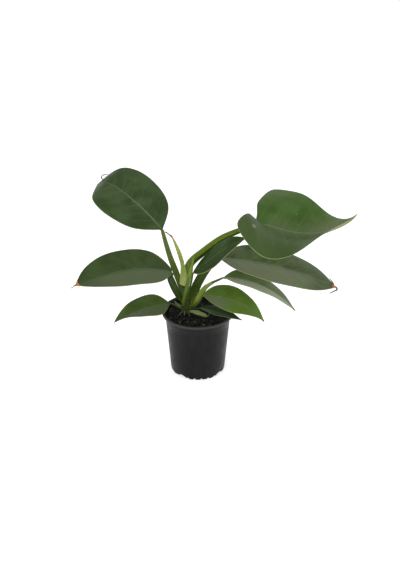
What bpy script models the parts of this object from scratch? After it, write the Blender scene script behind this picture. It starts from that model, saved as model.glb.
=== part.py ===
"""A philodendron in a 140 mm nursery pot: pot, soil, crown, leaf blades, petioles, sheaths and roots.

Metres, +Z up. The origin is the middle of the pot's flat foot pad. +X is the side that the long leaves reach to.
Every blade is one flat grid that the same leaf formula bends, so a leaf is a short list of plain settings.
"""

import math

import bmesh
import bpy
import numpy as np
from mathutils import Matrix, Vector, noise

MM = 0.001
GAP = 0.3 * MM  # between pieces that touch

# Pot
RIM_RADIUS = 70 * MM
POT_HEIGHT = 128 * MM
FOOT_RADIUS = 52.8 * MM
WALL = 1.6 * MM
LIP_HEIGHT = 5 * MM
LIP_REACH = 6 * MM
BAND_HEIGHT = 11 * MM  # the slightly wider band under the lip
BAND_STEP = 0.6 * MM
FLOOR_RAISE = 3 * MM
PAD_RADIUS = 18 * MM
POT_STEPS = 48
FOOT_NOTCHES = 8
NOTCH_WIDTH = 11 * MM
NOTCH_HEIGHT = 2.4 * MM
DRAIN_RADIUS = 4 * MM
DRAIN_CIRCLE = 31 * MM

# Soil and crown
SOIL_TOP = 118 * MM
SOIL_RELIEF = 2.2 * MM
STEM_X = -23 * MM
STEM_Y = 12 * MM
STEM_BASE = 92 * MM
STEM_TOP = 172 * MM
STEM_FOOT_RADIUS = 9 * MM
STEM_TOP_RADIUS = 6.6 * MM

# Leaves
LOBE_HUMP = 0.6  # below 1, a lobe's edge is pushed out nearer the midrib
BLADE = 0.8 * MM
SHEATH = 0.6 * MM
MIDRIB_STEPS = 48
PETIOLE_CLEAR = 1.2 * MM  # between a petiole's end and its blade

# A leaf: seat is where blade meets petiole. Heading turns from +X towards +Y, pitch lifts the midrib, droop and curl
# bend it along its length, roll and twist turn the blade about it. Belly is where along the length it is widest,
# fullness shapes the outline, and drip is the share of the length that is only a narrow drip tip. Fold lifts both
# halves into a V at the base and at the tip, and recurve rolls their margins back down. Angles are in degrees and
# lengths in millimetres. A lobed base has pairs of settings, for the near half and the far half: how far each lobe
# reaches back, its extra width, and how its edge is rounded, pushed back and flared up.
LEAVES = {
    "upper_left": dict(
        seat=(-68.7, 50, 277.5), heading=133, pitch=28, droop=-17.5, curl=-70, swing=8, roll=-20.6, twist=-5,
        length=196, width=121, belly=0.55, fullness=0.5, fold=13.7, fold_tip=10.6, recurve=25.6, curl_late=10,
    ),
    "middle_left": dict(
        seat=(-48.8, -12, 218.4), heading=197.7, pitch=21.8, droop=-41.3, curl=17.3, swing=18.4, roll=-22.4, twist=7,
        length=198, width=96, belly=0.45, fullness=0.52, fold=15.8, fold_tip=16, recurve=13.8,
        lobe_share=(0.08, 0.08), drip=0.03, seat_drop=3,
    ),
    "lower_left": dict(
        seat=(-55.1, 6, 139.6), heading=200, pitch=4.3, droop=-17.6, curl=-10.7, swing=12.8, roll=-27.6, twist=31.5,
        length=119, width=60, belly=0.383, fullness=0.567, fold=14, fold_tip=28, recurve=17, drip=0.04,
    ),
    "upper_right": dict(
        seat=(107.6, 30, 295.9), heading=-6.2, pitch=-24.8, droop=62.5, curl=28, swing=-12, roll=5.3, twist=12.9,
        length=215, width=182, belly=0.266, fullness=0.62, fold=33.4, fold_tip=88, fold_late=3.07, fold_near=-6.4,
        recurve=32.7, lobe=(39.1, 11.4), lobe_share=(0.7, 0.62), lobe_fall=2, lobe_round=(1.7, 39),
        lobe_back=(2.5, -3.8), lobe_flare=(22.7, 6.3), lobe_lift=-10, seat_drop=1.5, cage=(14, 8),
    ),
    "long_right": dict(
        seat=(40.9, 30, 227.4), heading=-4.4, pitch=-2, droop=-23.4, curl=-3.8, swing=2.9, roll=15.6, twist=-2.4,
        length=238, width=101, belly=0.474, fullness=0.522, fold=15.4, fold_tip=0, recurve=20.7, drip=0.02,
    ),
    "inner_right": dict(
        seat=(-9, -12, 216.2), heading=-13.4, pitch=47, droop=-11, curl=-9.9, swing=-1.8, roll=13, twist=11.5,
        length=132, width=63, belly=0.392, fullness=0.647, fold=5, fold_tip=17, recurve=21,
    ),
    "lower_right": dict(
        seat=(50.2, 0, 199.4), heading=4, pitch=-2.5, droop=-50.8, curl=1.5, swing=-9.3, roll=8, twist=-10,
        length=164, width=63, belly=0.421, fullness=0.442, fold=17, fold_tip=5, recurve=14, drip=0.08,
    ),
    "front_right": dict(
        seat=(9.1, -15, 169.5), heading=-1.5, pitch=-0.5, droop=-46.6, curl=-11, swing=2, roll=11.6, twist=16,
        length=139, width=71, belly=0.378, fullness=0.766, fold=15, fold_tip=19, recurve=22.5, drip=0.03,
        seat_drop=1.6,
    ),
    "over_rim": dict(
        seat=(7.2, -8, 138.4), heading=-28.3, pitch=0.8, droop=-9.2, curl=0.8, swing=1.7, roll=-5, twist=7,
        length=88, width=35, belly=0.404, fullness=0.646, fold=19.7, fold_tip=8, recurve=18, drip=0.08,
    ),
    "youngest": dict(
        seat=(-15.1, -4, 128.4), heading=-20.3, pitch=0, droop=-18.8, curl=3.5, swing=-1, roll=5.6, twist=12.8,
        length=38, width=11, belly=0.44, fullness=0.614, fold=16, fold_tip=15, recurve=14,
    ),
}

# A petiole runs from its blade's seat to the crown: (x, y, z, radius) in millimetres, after the seat's own radius.
PETIOLES = {
    "upper_left": (3.2, [(-61.5, 44, 250.6, 4.2), (-52.5, 37, 221.8, 5.2), (-42.3, 30.3, 195, 5.9),
                         (-33.3, 23.3, 170, 5.8), (-26.5, 17.2, 150, 5.2), (-22, 12.5, 141, 4)]),
    "middle_left": (3.4, [(-52, -10, 205, 6.4), (-45, -6, 183, 7.4), (-37.5, 0.8, 162, 6.8), (-31.2, 8, 147, 5),
                          (-22, 11.5, 137, 4)]),
    "lower_left": (1.5, [(-46.2, 2, 139.5, 1.7), (-36.4, -4, 137.3, 1.9), (-29, -3, 133, 2), (-22, 10, 127, 2)]),
    "upper_right": (3.8, [(91.5, 29, 288.5, 4.9), (72.6, 27, 283, 5.9), (42.3, 23, 269, 6.9), (11.9, 19, 246, 7.7),
                          (-12.5, 15, 225, 8.1), (-20.7, 12.7, 204, 7.7), (-23.7, 12.4, 173.5, 7)]),
    "long_right": (3.6, [(25, 29, 211.5, 5.6), (10, 28, 192, 7.6), (-1.5, 25, 171, 7.8), (-9, 20, 153, 7),
                         (-14.5, 16, 139, 5.4), (-22, 12.5, 128, 4)]),
    "inner_right": (1.8, [(-11.9, -8, 197.1, 2.1), (-16.5, -3, 174, 2.3), (-19.5, 1.5, 156, 2.4),
                          (-21, 10, 145, 2.4)]),
    "lower_right": (1.9, [(38.7, 3, 192.3, 2.4), (28.5, 6.5, 185.6, 2.6), (17.6, 7, 178.6, 2.6), (8.6, 3, 168.3, 2.7),
                          (0, -1, 152, 2.8), (-9, 4, 138, 2.8), (-21, 11, 131, 2.5)]),
    "front_right": (1.8, [(4.3, -14, 157, 2), (-3.4, -11.5, 145, 2.2), (-9, -2, 135, 2.3),
                          (-14, 5, 129, 2.3), (-21, 11, 125, 2.3)]),
    "over_rim": (1.2, [(0, -7, 135.8, 1.3), (-6.5, -1.5, 131.5, 1.4), (-12, 3, 125, 1.4), (-20, 10, 121.5, 1.4)]),
    "youngest": (0.9, [(-17, -1, 127, 1.2), (-20.5, 9, 122, 1.3)]),
}

# A sheath is an arc of shell round an axis: (x, y, z, arc radius, half angle in degrees), base to tip, and the
# direction that its back faces.
SHEATHS = {
    "dried_sheath": ((-0.7, -0.8, 0), [(-25, 12, 180, 9.9, 115), (-24.5, 12, 192, 9.7, 100),
                     (-23.8, 11, 206, 9.3, 64), (-26, 8.5, 224, 7, 56), (-30.5, 6, 243, 6.8, 58),
                     (-36.5, 5, 260, 5.4, 58), (-43.5, 4.5, 276, 3.4, 60), (-48, 4, 283.5, 1.9, 60)]),
    "pointed_sheath": ((-0.3, -1, 0), [(-28, 4, 136, 3.2, 75), (-27, -1, 150, 3.5, 70), (-23, -6.5, 172, 3.7, 70),
                       (-18, -9.5, 195, 3.9, 75), (-13.5, -12, 217, 3.8, 75), (-9.5, -14.5, 236, 2.3, 60),
                       (-7, -17, 256, 0.9, 50)]),
    "lower_right_sheath": ((0.2, -0.7, -0.5), [(-6, 2.5, 140, 5.2, 125), (0, -1, 152, 6, 115),
                           (8.3, 3, 168, 5.6, 110), (17.6, 7, 178.6, 4.9, 95), (28, 6.7, 186.3, 4.2, 60)]),
    "lower_left_scrap": ((-0.2, -0.6, 0.8), [(-32.5, -4, 138.5, 2.4, 60), (-38.5, -2.5, 142, 2.4, 60),
                         (-45.5, 1.5, 146.5, 1, 50)]),
}

# Pale roots from the crown's foot over the soil, in millimetres.
ROOTS = {
    "root_front": (0.9, [(-25, 8, 124), (-25.5, 0, 123.2), (-26, -5, 120.6), (-27, -9.5, 119.7)]),
    "root_left": (0.8, [(-27, 8, 123), (-32.5, 1, 122), (-35.5, -3.5, 119.8), (-39.5, -9, 119.5)]),
    "root_right": (0.7, [(-21, 8, 122), (-18.2, 0, 121.2), (-16, -6.5, 119.6), (-16.5, -13, 119.4)]),
}

LEAF_GREEN = (0.045, 0.105, 0.028)
YOUNG_GREEN = (0.17, 0.27, 0.06)
PETIOLE_GREEN = (0.12, 0.19, 0.035)
SHEATH_GREEN = (0.33, 0.42, 0.14)
POT_BLACK = (0.018, 0.019, 0.021)
SOIL_BROWN = (0.016, 0.011, 0.008)
STEM_BROWN = (0.05, 0.05, 0.02)
ROOT_CREAM = (0.42, 0.36, 0.24)


def clear_scene():
    for obj in list(bpy.data.objects):
        bpy.data.objects.remove(obj)


def new_collection(name):
    collection = bpy.data.collections.new(name)
    bpy.context.scene.collection.children.link(collection)
    return collection


def material(name, colour, roughness):
    made = bpy.data.materials.new(name)
    made.use_nodes = True
    shader = made.node_tree.nodes["Principled BSDF"]
    shader.inputs["Base Color"].default_value = (*colour, 1)
    shader.inputs["Roughness"].default_value = roughness
    shader.inputs["Metallic"].default_value = 0
    return made


def add_object(name, mesh, collection, finish=None):
    obj = bpy.data.objects.new(name, mesh)
    collection.objects.link(obj)
    if finish:
        mesh.materials.append(finish)
    mesh.shade_smooth()
    return obj


def mesh_from(bm, name):
    mesh = bpy.data.meshes.new(name)
    bm.to_mesh(mesh)
    bm.free()
    return mesh


def cutter(obj):
    obj.hide_render = True
    obj.display_type = "WIRE"
    return obj


def cut(obj, tool):
    boolean = obj.modifiers.new("cut by " + tool.name, "BOOLEAN")
    boolean.operation = "DIFFERENCE"
    boolean.object = tool
    return boolean


def millimetres(*values):
    return Vector(values) * MM


# Turned shapes


def turned(name, profile, collection, finish=None, steps=POT_STEPS):
    """A profile of (radius, height) points turned round Z. Its outer side runs from top to bottom."""
    bm = bmesh.new()
    corners = [bm.verts.new((radius, 0, height)) for radius, height in profile]
    for first, second in zip(corners, corners[1:]):
        bm.edges.new((first, second))
    obj = add_object(name, mesh_from(bm, name), collection, finish)
    screw = obj.modifiers.new("turn", "SCREW")
    screw.steps = steps
    screw.render_steps = steps
    screw.use_merge_vertices = True
    screw.merge_threshold = 0.00001
    return obj


def pot_profile():
    wall_top = RIM_RADIUS - LIP_REACH
    under_lip = POT_HEIGHT - LIP_HEIGHT
    band_foot = under_lip - BAND_HEIGHT
    groove = FOOT_RADIUS - 8 * MM
    floor = FLOOR_RAISE + WALL
    return [
        (0, floor),
        (FOOT_RADIUS - WALL - 2 * MM, floor),
        (FOOT_RADIUS - WALL, floor + 2 * MM),
        (wall_top - WALL - BAND_STEP, band_foot),
        (wall_top - WALL, under_lip),
        (RIM_RADIUS - 4.6 * MM, POT_HEIGHT - 0.8 * MM),
        (RIM_RADIUS - 3.6 * MM, POT_HEIGHT),
        (RIM_RADIUS - 1.2 * MM, POT_HEIGHT),
        (RIM_RADIUS - 0.3 * MM, POT_HEIGHT - 0.4 * MM),
        (RIM_RADIUS, POT_HEIGHT - 1.3 * MM),
        (RIM_RADIUS - 0.4 * MM, under_lip + 0.3 * MM),
        (RIM_RADIUS - 1.4 * MM, under_lip),
        (wall_top, under_lip + 0.4 * MM),
        (wall_top - 0.8 * MM, band_foot + 0.8 * MM),
        (wall_top - 0.8 * MM - BAND_STEP, band_foot),
        (FOOT_RADIUS + 0.6 * MM, 6 * MM),
        (FOOT_RADIUS, 2 * MM),
        (FOOT_RADIUS - 1.4 * MM, 0.3 * MM),
        (FOOT_RADIUS - 2.4 * MM, 0),
        (groove + 1 * MM, 0),
        (groove, FLOOR_RAISE),
        (PAD_RADIUS + 2 * MM, FLOOR_RAISE),
        (PAD_RADIUS, 0),
        (0, 0),
    ]


def round_box_ring(name, count, radius, size, collection):
    """Boxes set radially round Z, as one tool."""
    bm = bmesh.new()
    for turn in range(count):
        box = bmesh.ops.create_cube(bm, size=1)["verts"]
        bmesh.ops.scale(bm, verts=box, vec=size)
        bmesh.ops.translate(bm, verts=box, vec=(radius, 0, 0))
        spin = Matrix.Rotation((turn + 0.5) * math.tau / count, 3, "Z")
        bmesh.ops.rotate(bm, verts=box, cent=(0, 0, 0), matrix=spin)
    return cutter(add_object(name, mesh_from(bm, name), collection))


def drill_ring(name, count, circle, radius, depth, collection):
    """Round drills standing on a circle round Z, as one tool."""
    bm = bmesh.new()
    for turn in range(count):
        drill = bmesh.ops.create_cone(
            bm, cap_ends=True, segments=14, radius1=radius, radius2=radius, depth=depth
        )["verts"]
        angle = turn * math.tau / count
        place = (circle * math.cos(angle), circle * math.sin(angle), 0)
        bmesh.ops.translate(bm, verts=drill, vec=place)
    return cutter(add_object(name, mesh_from(bm, name), collection))


def make_pot(plant, tools, finish):
    pot = turned("pot", pot_profile(), plant, finish)
    notch_size = (24 * MM, NOTCH_WIDTH, 2 * NOTCH_HEIGHT)
    notches = round_box_ring("foot_notches", FOOT_NOTCHES, FOOT_RADIUS, notch_size, tools)
    drains = drill_ring("drain_holes", FOOT_NOTCHES, DRAIN_CIRCLE, DRAIN_RADIUS, 30 * MM, tools)
    cut(pot, notches)
    cut(pot, drains)
    return pot


def inner_wall(height):
    """The pot's inside radius at a height."""
    low = (FLOOR_RAISE + WALL + 2 * MM, FOOT_RADIUS - WALL)
    high = (POT_HEIGHT - LIP_HEIGHT - BAND_HEIGHT, RIM_RADIUS - LIP_REACH - WALL - BAND_STEP)
    share = (height - low[0]) / (high[0] - low[0])
    return low[1] + share * (high[1] - low[1])


def make_soil(plant, stem_tool, finish):
    """A plug of potting mix with a lumpy top that is level where the crown and its roots meet it."""
    floor = FLOOR_RAISE + WALL + GAP
    clear = 2 * GAP
    edge = inner_wall(SOIL_TOP) - clear
    bm = bmesh.new()
    radii = [edge * share for share in (1, 0.86, 0.72, 0.58, 0.44, 0.3, 0.16, 0)]
    outline = [(0, floor), (FOOT_RADIUS - WALL - 2.6 * MM, floor)]
    outline += [(FOOT_RADIUS - WALL - clear, floor + 2.4 * MM)]
    outline += [(radius, SOIL_TOP) for radius in radii]
    points = [bm.verts.new((radius, 0, height)) for radius, height in outline]
    rails = [bm.edges.new(pair) for pair in zip(points, points[1:])]
    bmesh.ops.spin(
        bm, geom=points + rails, cent=(0, 0, 0), axis=(0, 0, 1), angle=math.tau, steps=32, use_merge=True
    )
    bmesh.ops.remove_doubles(bm, verts=bm.verts[:], dist=0.01 * MM)
    crown = Vector((STEM_X, STEM_Y))
    for point in bm.verts:
        if point.co.z < SOIL_TOP - MM:
            continue
        away = (point.co.xy - crown).length
        lumps = noise.fractal(point.co / (14 * MM), 1.0, 2.0, 3)
        point.co.z += SOIL_RELIEF * lumps * min(1, max(0, (away - 24 * MM) / (16 * MM)))
    bmesh.ops.recalc_face_normals(bm, faces=bm.faces[:])
    soil = add_object("soil", mesh_from(bm, "soil"), plant, finish)
    cut(soil, stem_tool)
    return soil


def stem_profile(grow):
    return [
        (0, STEM_TOP + grow),
        (STEM_TOP_RADIUS * 0.7 + grow, STEM_TOP + grow),
        (STEM_TOP_RADIUS + grow, STEM_TOP - 2 * MM),
        (STEM_TOP_RADIUS * 1.15 + grow, STEM_TOP - 20 * MM),
        (STEM_FOOT_RADIUS + grow, SOIL_TOP + 8 * MM),
        (STEM_FOOT_RADIUS + grow, SOIL_TOP - 10 * MM),
        (STEM_FOOT_RADIUS * 0.6 + grow, STEM_BASE - grow),
        (0, STEM_BASE - grow),
    ]


def make_stem(plant, tools, finish):
    stem = turned("stem", stem_profile(0), plant, finish, steps=24)
    tool = cutter(turned("stem_room", stem_profile(GAP), tools, steps=24))
    for obj in (stem, tool):
        obj.location = (STEM_X, STEM_Y, 0)
    return tool


# Leaf blades


def outline_share(leaf, s):
    """Half width along the blade as a share of its widest."""
    belly = leaf["belly"]
    s = np.minimum(s / (1 - leaf.get("drip", 0)), 1)
    rise = leaf["fullness"]
    fall = rise * (1 - belly) / belly
    return (s / belly) ** rise * ((1 - s) / (1 - belly)) ** fall


def leaf_frame(leaf, u):
    """Unit vectors along the midrib, across the blade and out of its upper face, at share u of the length."""
    pitch = np.radians(leaf["pitch"] + leaf["droop"] * u + leaf["curl"] * u ** leaf.get("curl_late", 4))
    heading = np.radians(leaf["heading"] + leaf["swing"] * u)
    roll = np.radians(leaf["roll"] + leaf["twist"] * u)
    along = np.stack([np.cos(pitch) * np.cos(heading), np.cos(pitch) * np.sin(heading), np.sin(pitch)], -1)
    level = np.stack([-np.sin(heading), np.cos(heading), 0 * heading], -1)
    out = np.cross(along, level)
    cos, sin = np.cos(roll)[..., None], np.sin(roll)[..., None]
    return along, level * cos + out * sin, out * cos - level * sin


def halves(leaf, key, v):
    """A setting that the near half (v below 0) and the far half of a blade have each of their own."""
    near, far = leaf.get(key, (0, 0))
    return np.where(v > 0, far, near)


def blade_points(leaf, s, v):
    """Points of the upper face: s runs from base to tip, v from -1 to 1 across."""
    length = leaf["length"] * MM
    half = leaf["width"] * MM / 2
    span = np.linspace(0, 1, MIDRIB_STEPS + 1)
    steps = leaf_frame(leaf, (span[1:] + span[:-1]) / 2)[0] * length / MIDRIB_STEPS
    midrib = np.concatenate([np.zeros((1, 3)), np.cumsum(steps, 0)]) + np.array(leaf["seat"]) * MM

    side = np.abs(v)
    near_base = (1 - s) ** 4
    share = outline_share(leaf, s) + halves(leaf, "lobe_share", v) * (1 - s) ** leaf.get("lobe_fall", 4)
    ends = 2 * MM * (1 - s) ** 6 + (0.3 + 20 * (1 - s)) * MM * s**8
    out = side * (half * share + ends)
    turn = np.radians(90 + halves(leaf, "lobe_round", v) * near_base)
    hump = np.sin(np.pi * side**LOBE_HUMP) * (1 - s) ** 6
    back = halves(leaf, "lobe", v) * (1 - s) ** 3 * np.sin(side * turn) + halves(leaf, "lobe_back", v) * hump
    x = s - back * MM / length
    fold = leaf["fold"] + (leaf["fold_tip"] - leaf["fold"]) * s ** leaf.get("fold_late", 2)
    fold = fold + np.where(v < 0, leaf.get("fold_near", 0), 0) * 6.75 * s**2 * (1 - s)
    slope = np.radians(fold - leaf["recurve"] * out / half / 2)

    held = np.clip(x, 0, 1)
    centre = np.stack([np.interp(held, span, midrib[:, axis]) for axis in range(3)], -1)
    along, across, up = leaf_frame(leaf, held)
    behind = np.minimum(x, 0) * length
    lift = leaf.get("lobe_lift", 0) * MM * (behind / (40 * MM)) ** 2
    lift = lift + halves(leaf, "lobe_flare", v) * MM * hump
    centre = centre + along * behind[..., None] + up * lift[..., None]
    return centre + across * (out * np.cos(slope) * np.sign(v))[..., None] + up * (out * np.sin(slope))[..., None]


def bend_grid(name, segments, place):
    """A flat grid whose points are moved by place(s, v)."""
    bm = bmesh.new()
    bmesh.ops.create_grid(bm, x_segments=segments[0], y_segments=segments[1], size=1)
    flat = np.array([point.co[:2] for point in bm.verts])
    bent = place((flat[:, 0] + 1) / 2, flat[:, 1])
    for point, target in zip(bm.verts, bent):
        point.co = target
    return mesh_from(bm, name)


def thicken(obj, thickness, offset):
    smooth = obj.modifiers.new("smooth", "SUBSURF")
    smooth.levels = 1
    smooth.render_levels = 1
    shell = obj.modifiers.new("thickness", "SOLIDIFY")
    shell.thickness = thickness
    shell.offset = offset


def make_blade(name, leaf, plant, finish):
    mesh = bend_grid(name, leaf.get("cage", (8, 4)), lambda s, v: blade_points(leaf, s, v))
    blade = add_object(name, mesh, plant, finish)
    thicken(blade, BLADE, -1)
    return blade


# Petioles, roots and sheaths


def rod(name, points, collection, finish, sides=2):
    """A solid tapering rod through (position, radius) points, welded shut."""
    curve = bpy.data.curves.new(name, "CURVE")
    curve.dimensions = "3D"
    curve.bevel_depth = 1
    curve.bevel_resolution = sides
    curve.use_fill_caps = True
    curve.resolution_u = 3
    spline = curve.splines.new("BEZIER")
    spline.bezier_points.add(len(points) - 1)
    for knot, (position, radius) in zip(spline.bezier_points, points):
        knot.co = position
        knot.radius = radius
        knot.handle_left_type = "AUTO"
        knot.handle_right_type = "AUTO"
    guide = bpy.data.objects.new(name + "_guide", curve)
    collection.objects.link(guide)
    bpy.context.view_layer.update()
    graph = bpy.context.evaluated_depsgraph_get()
    mesh = bpy.data.meshes.new_from_object(guide.evaluated_get(graph))
    bpy.data.objects.remove(guide)
    bm = bmesh.new()
    bm.from_mesh(mesh)
    bmesh.ops.remove_doubles(bm, verts=bm.verts[:], dist=0.01 * MM)
    bmesh.ops.recalc_face_normals(bm, faces=bm.faces[:])
    bm.to_mesh(mesh)
    bm.free()
    mesh.materials.clear()
    return add_object(name, mesh, collection, finish)


def make_petiole(name, leaf, seat_radius, route, plant, stem_tool, finish):
    along, _, up = leaf_frame(leaf, np.zeros(1))
    drop = leaf.get("seat_drop", 0) * MM
    seat = millimetres(*leaf["seat"]) - Vector(along[0]) * PETIOLE_CLEAR - Vector(up[0]) * drop
    points = [(seat, seat_radius * MM)]
    points += [(millimetres(x, y, z), radius * MM) for x, y, z, radius in route]
    petiole = rod(name, points, plant, finish)
    cut(petiole, stem_tool)
    return petiole


def make_root(name, radius, route, plant, stem_tool, finish):
    points = [(millimetres(*place), radius * MM) for place in route]
    root = rod(name, points, plant, finish, sides=1)
    cut(root, stem_tool)
    return root


def sheath_points(facing, stations, s, v):
    """Points of a shell that wraps its axis: s runs from base to tip, v from one edge to the other."""
    stations = np.array(stations, float)
    where = np.linspace(0, 1, len(stations))
    axis = np.stack([np.interp(s, where, stations[:, i]) for i in range(3)], -1) * MM
    radius = np.interp(s, where, stations[:, 3]) * MM
    angle = np.radians(np.interp(s, where, stations[:, 4])) * v
    slopes = np.gradient(stations[:, :3], axis=0)
    along = np.stack([np.interp(s, where, slopes[:, i]) for i in range(3)], -1)
    along /= np.linalg.norm(along, axis=-1, keepdims=True)
    back = np.array(facing, float) - along * (along @ np.array(facing, float))[:, None]
    back /= np.linalg.norm(back, axis=-1, keepdims=True)
    side = np.cross(back, along)
    return axis + (back * np.cos(angle)[:, None] + side * np.sin(angle)[:, None]) * radius[:, None]


def make_sheath(name, facing, stations, plant, stem_tool, finish):
    rows = len(stations) - 1
    mesh = bend_grid(name, (rows, 4), lambda s, v: sheath_points(facing, stations, s, v))
    sheath = add_object(name, mesh, plant, finish)
    thicken(sheath, SHEATH, 0)
    cut(sheath, stem_tool)
    return sheath


def main():
    clear_scene()
    plant = new_collection("potted_philodendron")
    tools = new_collection("cutters")
    petiole_green = material("petiole_green", PETIOLE_GREEN, 0.45)
    sheath_green = material("sheath_green", SHEATH_GREEN, 0.5)
    leaf_green = material("leaf_green", LEAF_GREEN, 0.4)
    young_green = material("young_green", YOUNG_GREEN, 0.45)
    root_cream = material("root_cream", ROOT_CREAM, 0.7)

    make_pot(plant, tools, material("pot_black", POT_BLACK, 0.45))
    stem_tool = make_stem(plant, tools, material("stem_brown", STEM_BROWN, 0.7))
    make_soil(plant, stem_tool, material("soil_brown", SOIL_BROWN, 0.95))

    for name, leaf in LEAVES.items():
        green = young_green if name == "youngest" else leaf_green
        make_blade("leaf_" + name, leaf, plant, green)
        seat_radius, route = PETIOLES[name]
        make_petiole("petiole_" + name, leaf, seat_radius, route, plant, stem_tool, petiole_green)
    for name, (facing, stations) in SHEATHS.items():
        make_sheath(name, facing, stations, plant, stem_tool, sheath_green)
    for name, (radius, route) in ROOTS.items():
        make_root(name, radius, route, plant, stem_tool, root_cream)


main()
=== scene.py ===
# %% [markdown]
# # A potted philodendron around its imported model
# The plant is a young philodendron in a black nursery pot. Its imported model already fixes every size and
# place, so this lesson only makes what the eye enjoys: thin waxy blades with veins, channelled petioles,
# papery sheaths, loose peat and a satin plastic pot. Each finished piece stands for one node of the
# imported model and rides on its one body.

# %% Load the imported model
import math

import bmesh
import bpy
import numpy as np
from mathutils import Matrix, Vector, noise


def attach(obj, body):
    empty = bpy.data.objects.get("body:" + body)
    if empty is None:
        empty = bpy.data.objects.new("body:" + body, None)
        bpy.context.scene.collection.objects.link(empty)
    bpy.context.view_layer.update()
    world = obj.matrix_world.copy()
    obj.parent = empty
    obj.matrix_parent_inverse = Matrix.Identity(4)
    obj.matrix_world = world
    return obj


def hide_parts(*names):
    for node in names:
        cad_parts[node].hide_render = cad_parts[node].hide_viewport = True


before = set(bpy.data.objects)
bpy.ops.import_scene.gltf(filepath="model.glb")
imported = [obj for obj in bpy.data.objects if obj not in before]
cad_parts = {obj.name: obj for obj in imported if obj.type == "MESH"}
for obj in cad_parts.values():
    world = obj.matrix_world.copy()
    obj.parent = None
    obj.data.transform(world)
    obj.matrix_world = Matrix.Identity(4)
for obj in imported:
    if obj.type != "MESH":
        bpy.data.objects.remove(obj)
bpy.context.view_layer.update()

MM = 0.001
print("nodes in the packed model:", len(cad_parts))

# %% [markdown]
# ## The studio
# A plant pictured for a shop stands on a white sweep under soft light. A large pale floor inside a white
# room does the same. The room's light comes from the world, and the blades' sheen from three softboxes: a
# broad one overhead, a lower one in front that also fills the pot, and a small one on the right. The
# camera looks down a little, through a longish lens.


# %% Camera
LENS = 64.9
CAMERA_PLACE = (0.0043, -1.751, 1.0946)
CAMERA_DIP = 27.5  # degrees under the horizon


def add_camera():
    camera = bpy.data.objects.new("camera", bpy.data.cameras.new("camera"))
    bpy.context.scene.collection.objects.link(camera)
    camera.data.lens = LENS
    camera.data.sensor_width = 36
    camera.location = CAMERA_PLACE
    camera.rotation_euler = (math.radians(90 - CAMERA_DIP), 0, 0)
    bpy.context.scene.camera = camera
    return camera


camera = add_camera()
print("camera", round(camera.location.length, 2), "m from the pot, lens", LENS, "mm")


# %% Helpers that every piece uses
def mesh_of(bm, name):
    mesh = bpy.data.meshes.new(name)
    bm.to_mesh(mesh)
    bm.free()
    mesh.shade_smooth()
    return mesh


def add_object(name, mesh, *finishes):
    piece = bpy.data.objects.new(name, mesh)
    bpy.context.scene.collection.objects.link(piece)
    for finish in finishes:
        mesh.materials.append(finish)
    return piece


def smoothstep(low, high, value):
    share = np.clip((value - low) / (high - low), 0, 1)
    return share * share * (3 - 2 * share)


faces_made = {}


def hand_over(piece, node=None):
    """Rides the piece on the root body, hides the imported node it stands for, and notes how many faces it
    has.
    """
    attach(piece, "root")
    if node:
        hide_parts(node)
    faces_made[piece.name] = len(piece.data.polygons)
    return piece


def faces_of(kind):
    """The faces of all pieces so far whose names hold the word."""
    return sum(count for name, count in faces_made.items() if kind in name)


print("half way along a soft step:", smoothstep(0, 1, 0.5))


# %% Floor
FLOOR_GLOW = 0.55
FLOOR_REACH = 40  # metres each way, so that its edge lies at the horizon


def make_floor():
    bm = bmesh.new()
    bmesh.ops.create_grid(bm, x_segments=1, y_segments=1, size=FLOOR_REACH)
    finish = bpy.data.materials.new("white_sweep")
    finish.use_nodes = True
    shader = finish.node_tree.nodes["Principled BSDF"]
    shader.inputs["Base Color"].default_value = (0.93, 0.93, 0.93, 1)
    shader.inputs["Roughness"].default_value = 0.9
    shader.inputs["Specular IOR Level"].default_value = 0
    shader.inputs["Emission Color"].default_value = (1, 1, 1, 1)
    shader.inputs["Emission Strength"].default_value = FLOOR_GLOW
    floor = add_object("floor", mesh_of(bm, "floor"), finish)
    return floor


make_floor()
print("the floor reaches", FLOOR_REACH, "m each way")


# %% The white room
WALL_LIGHT, CEILING_LIGHT, FRONT_LIGHT = 0.95, 0.5, 0.5


def make_world():
    """White walls behind and beside the plant, a dimmer ceiling, and a dimmer room in front."""
    world = bpy.data.worlds.new("white_room")
    world.use_nodes = True
    tree = world.node_tree
    backdrop = tree.nodes["Background"]
    direction = tree.nodes.new("ShaderNodeSeparateXYZ")
    tree.links.new(tree.nodes.new("ShaderNodeTexCoord").outputs["Generated"], direction.inputs[0])
    strength = WALL_LIGHT
    for axis, span, far in (("Z", (0.25, 0.85), CEILING_LIGHT), ("Y", (0.1, -0.7), FRONT_LIGHT)):
        share = tree.nodes.new("ShaderNodeMapRange")
        share.interpolation_type = "SMOOTHSTEP"
        low, high = sorted(span)
        ends = (1, far) if span[0] < span[1] else (far, 1)
        for socket, value in zip(list(share.inputs)[1:5], (low, high, *ends)):
            socket.default_value = value
        tree.links.new(direction.outputs[axis], share.inputs[0])
        product = tree.nodes.new("ShaderNodeMath")
        product.operation = "MULTIPLY"
        tree.links.new(share.outputs[0], product.inputs[0])
        if isinstance(strength, float):
            product.inputs[1].default_value = strength
        else:
            tree.links.new(strength, product.inputs[1])
        strength = product.outputs[0]
    backdrop.inputs["Color"].default_value = (1, 1, 1, 1)
    tree.links.new(strength, backdrop.inputs["Strength"])
    bpy.context.scene.world = world


make_world()
print("world strength:", WALL_LIGHT, "on the walls,", WALL_LIGHT * CEILING_LIGHT, "on the ceiling")


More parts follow.
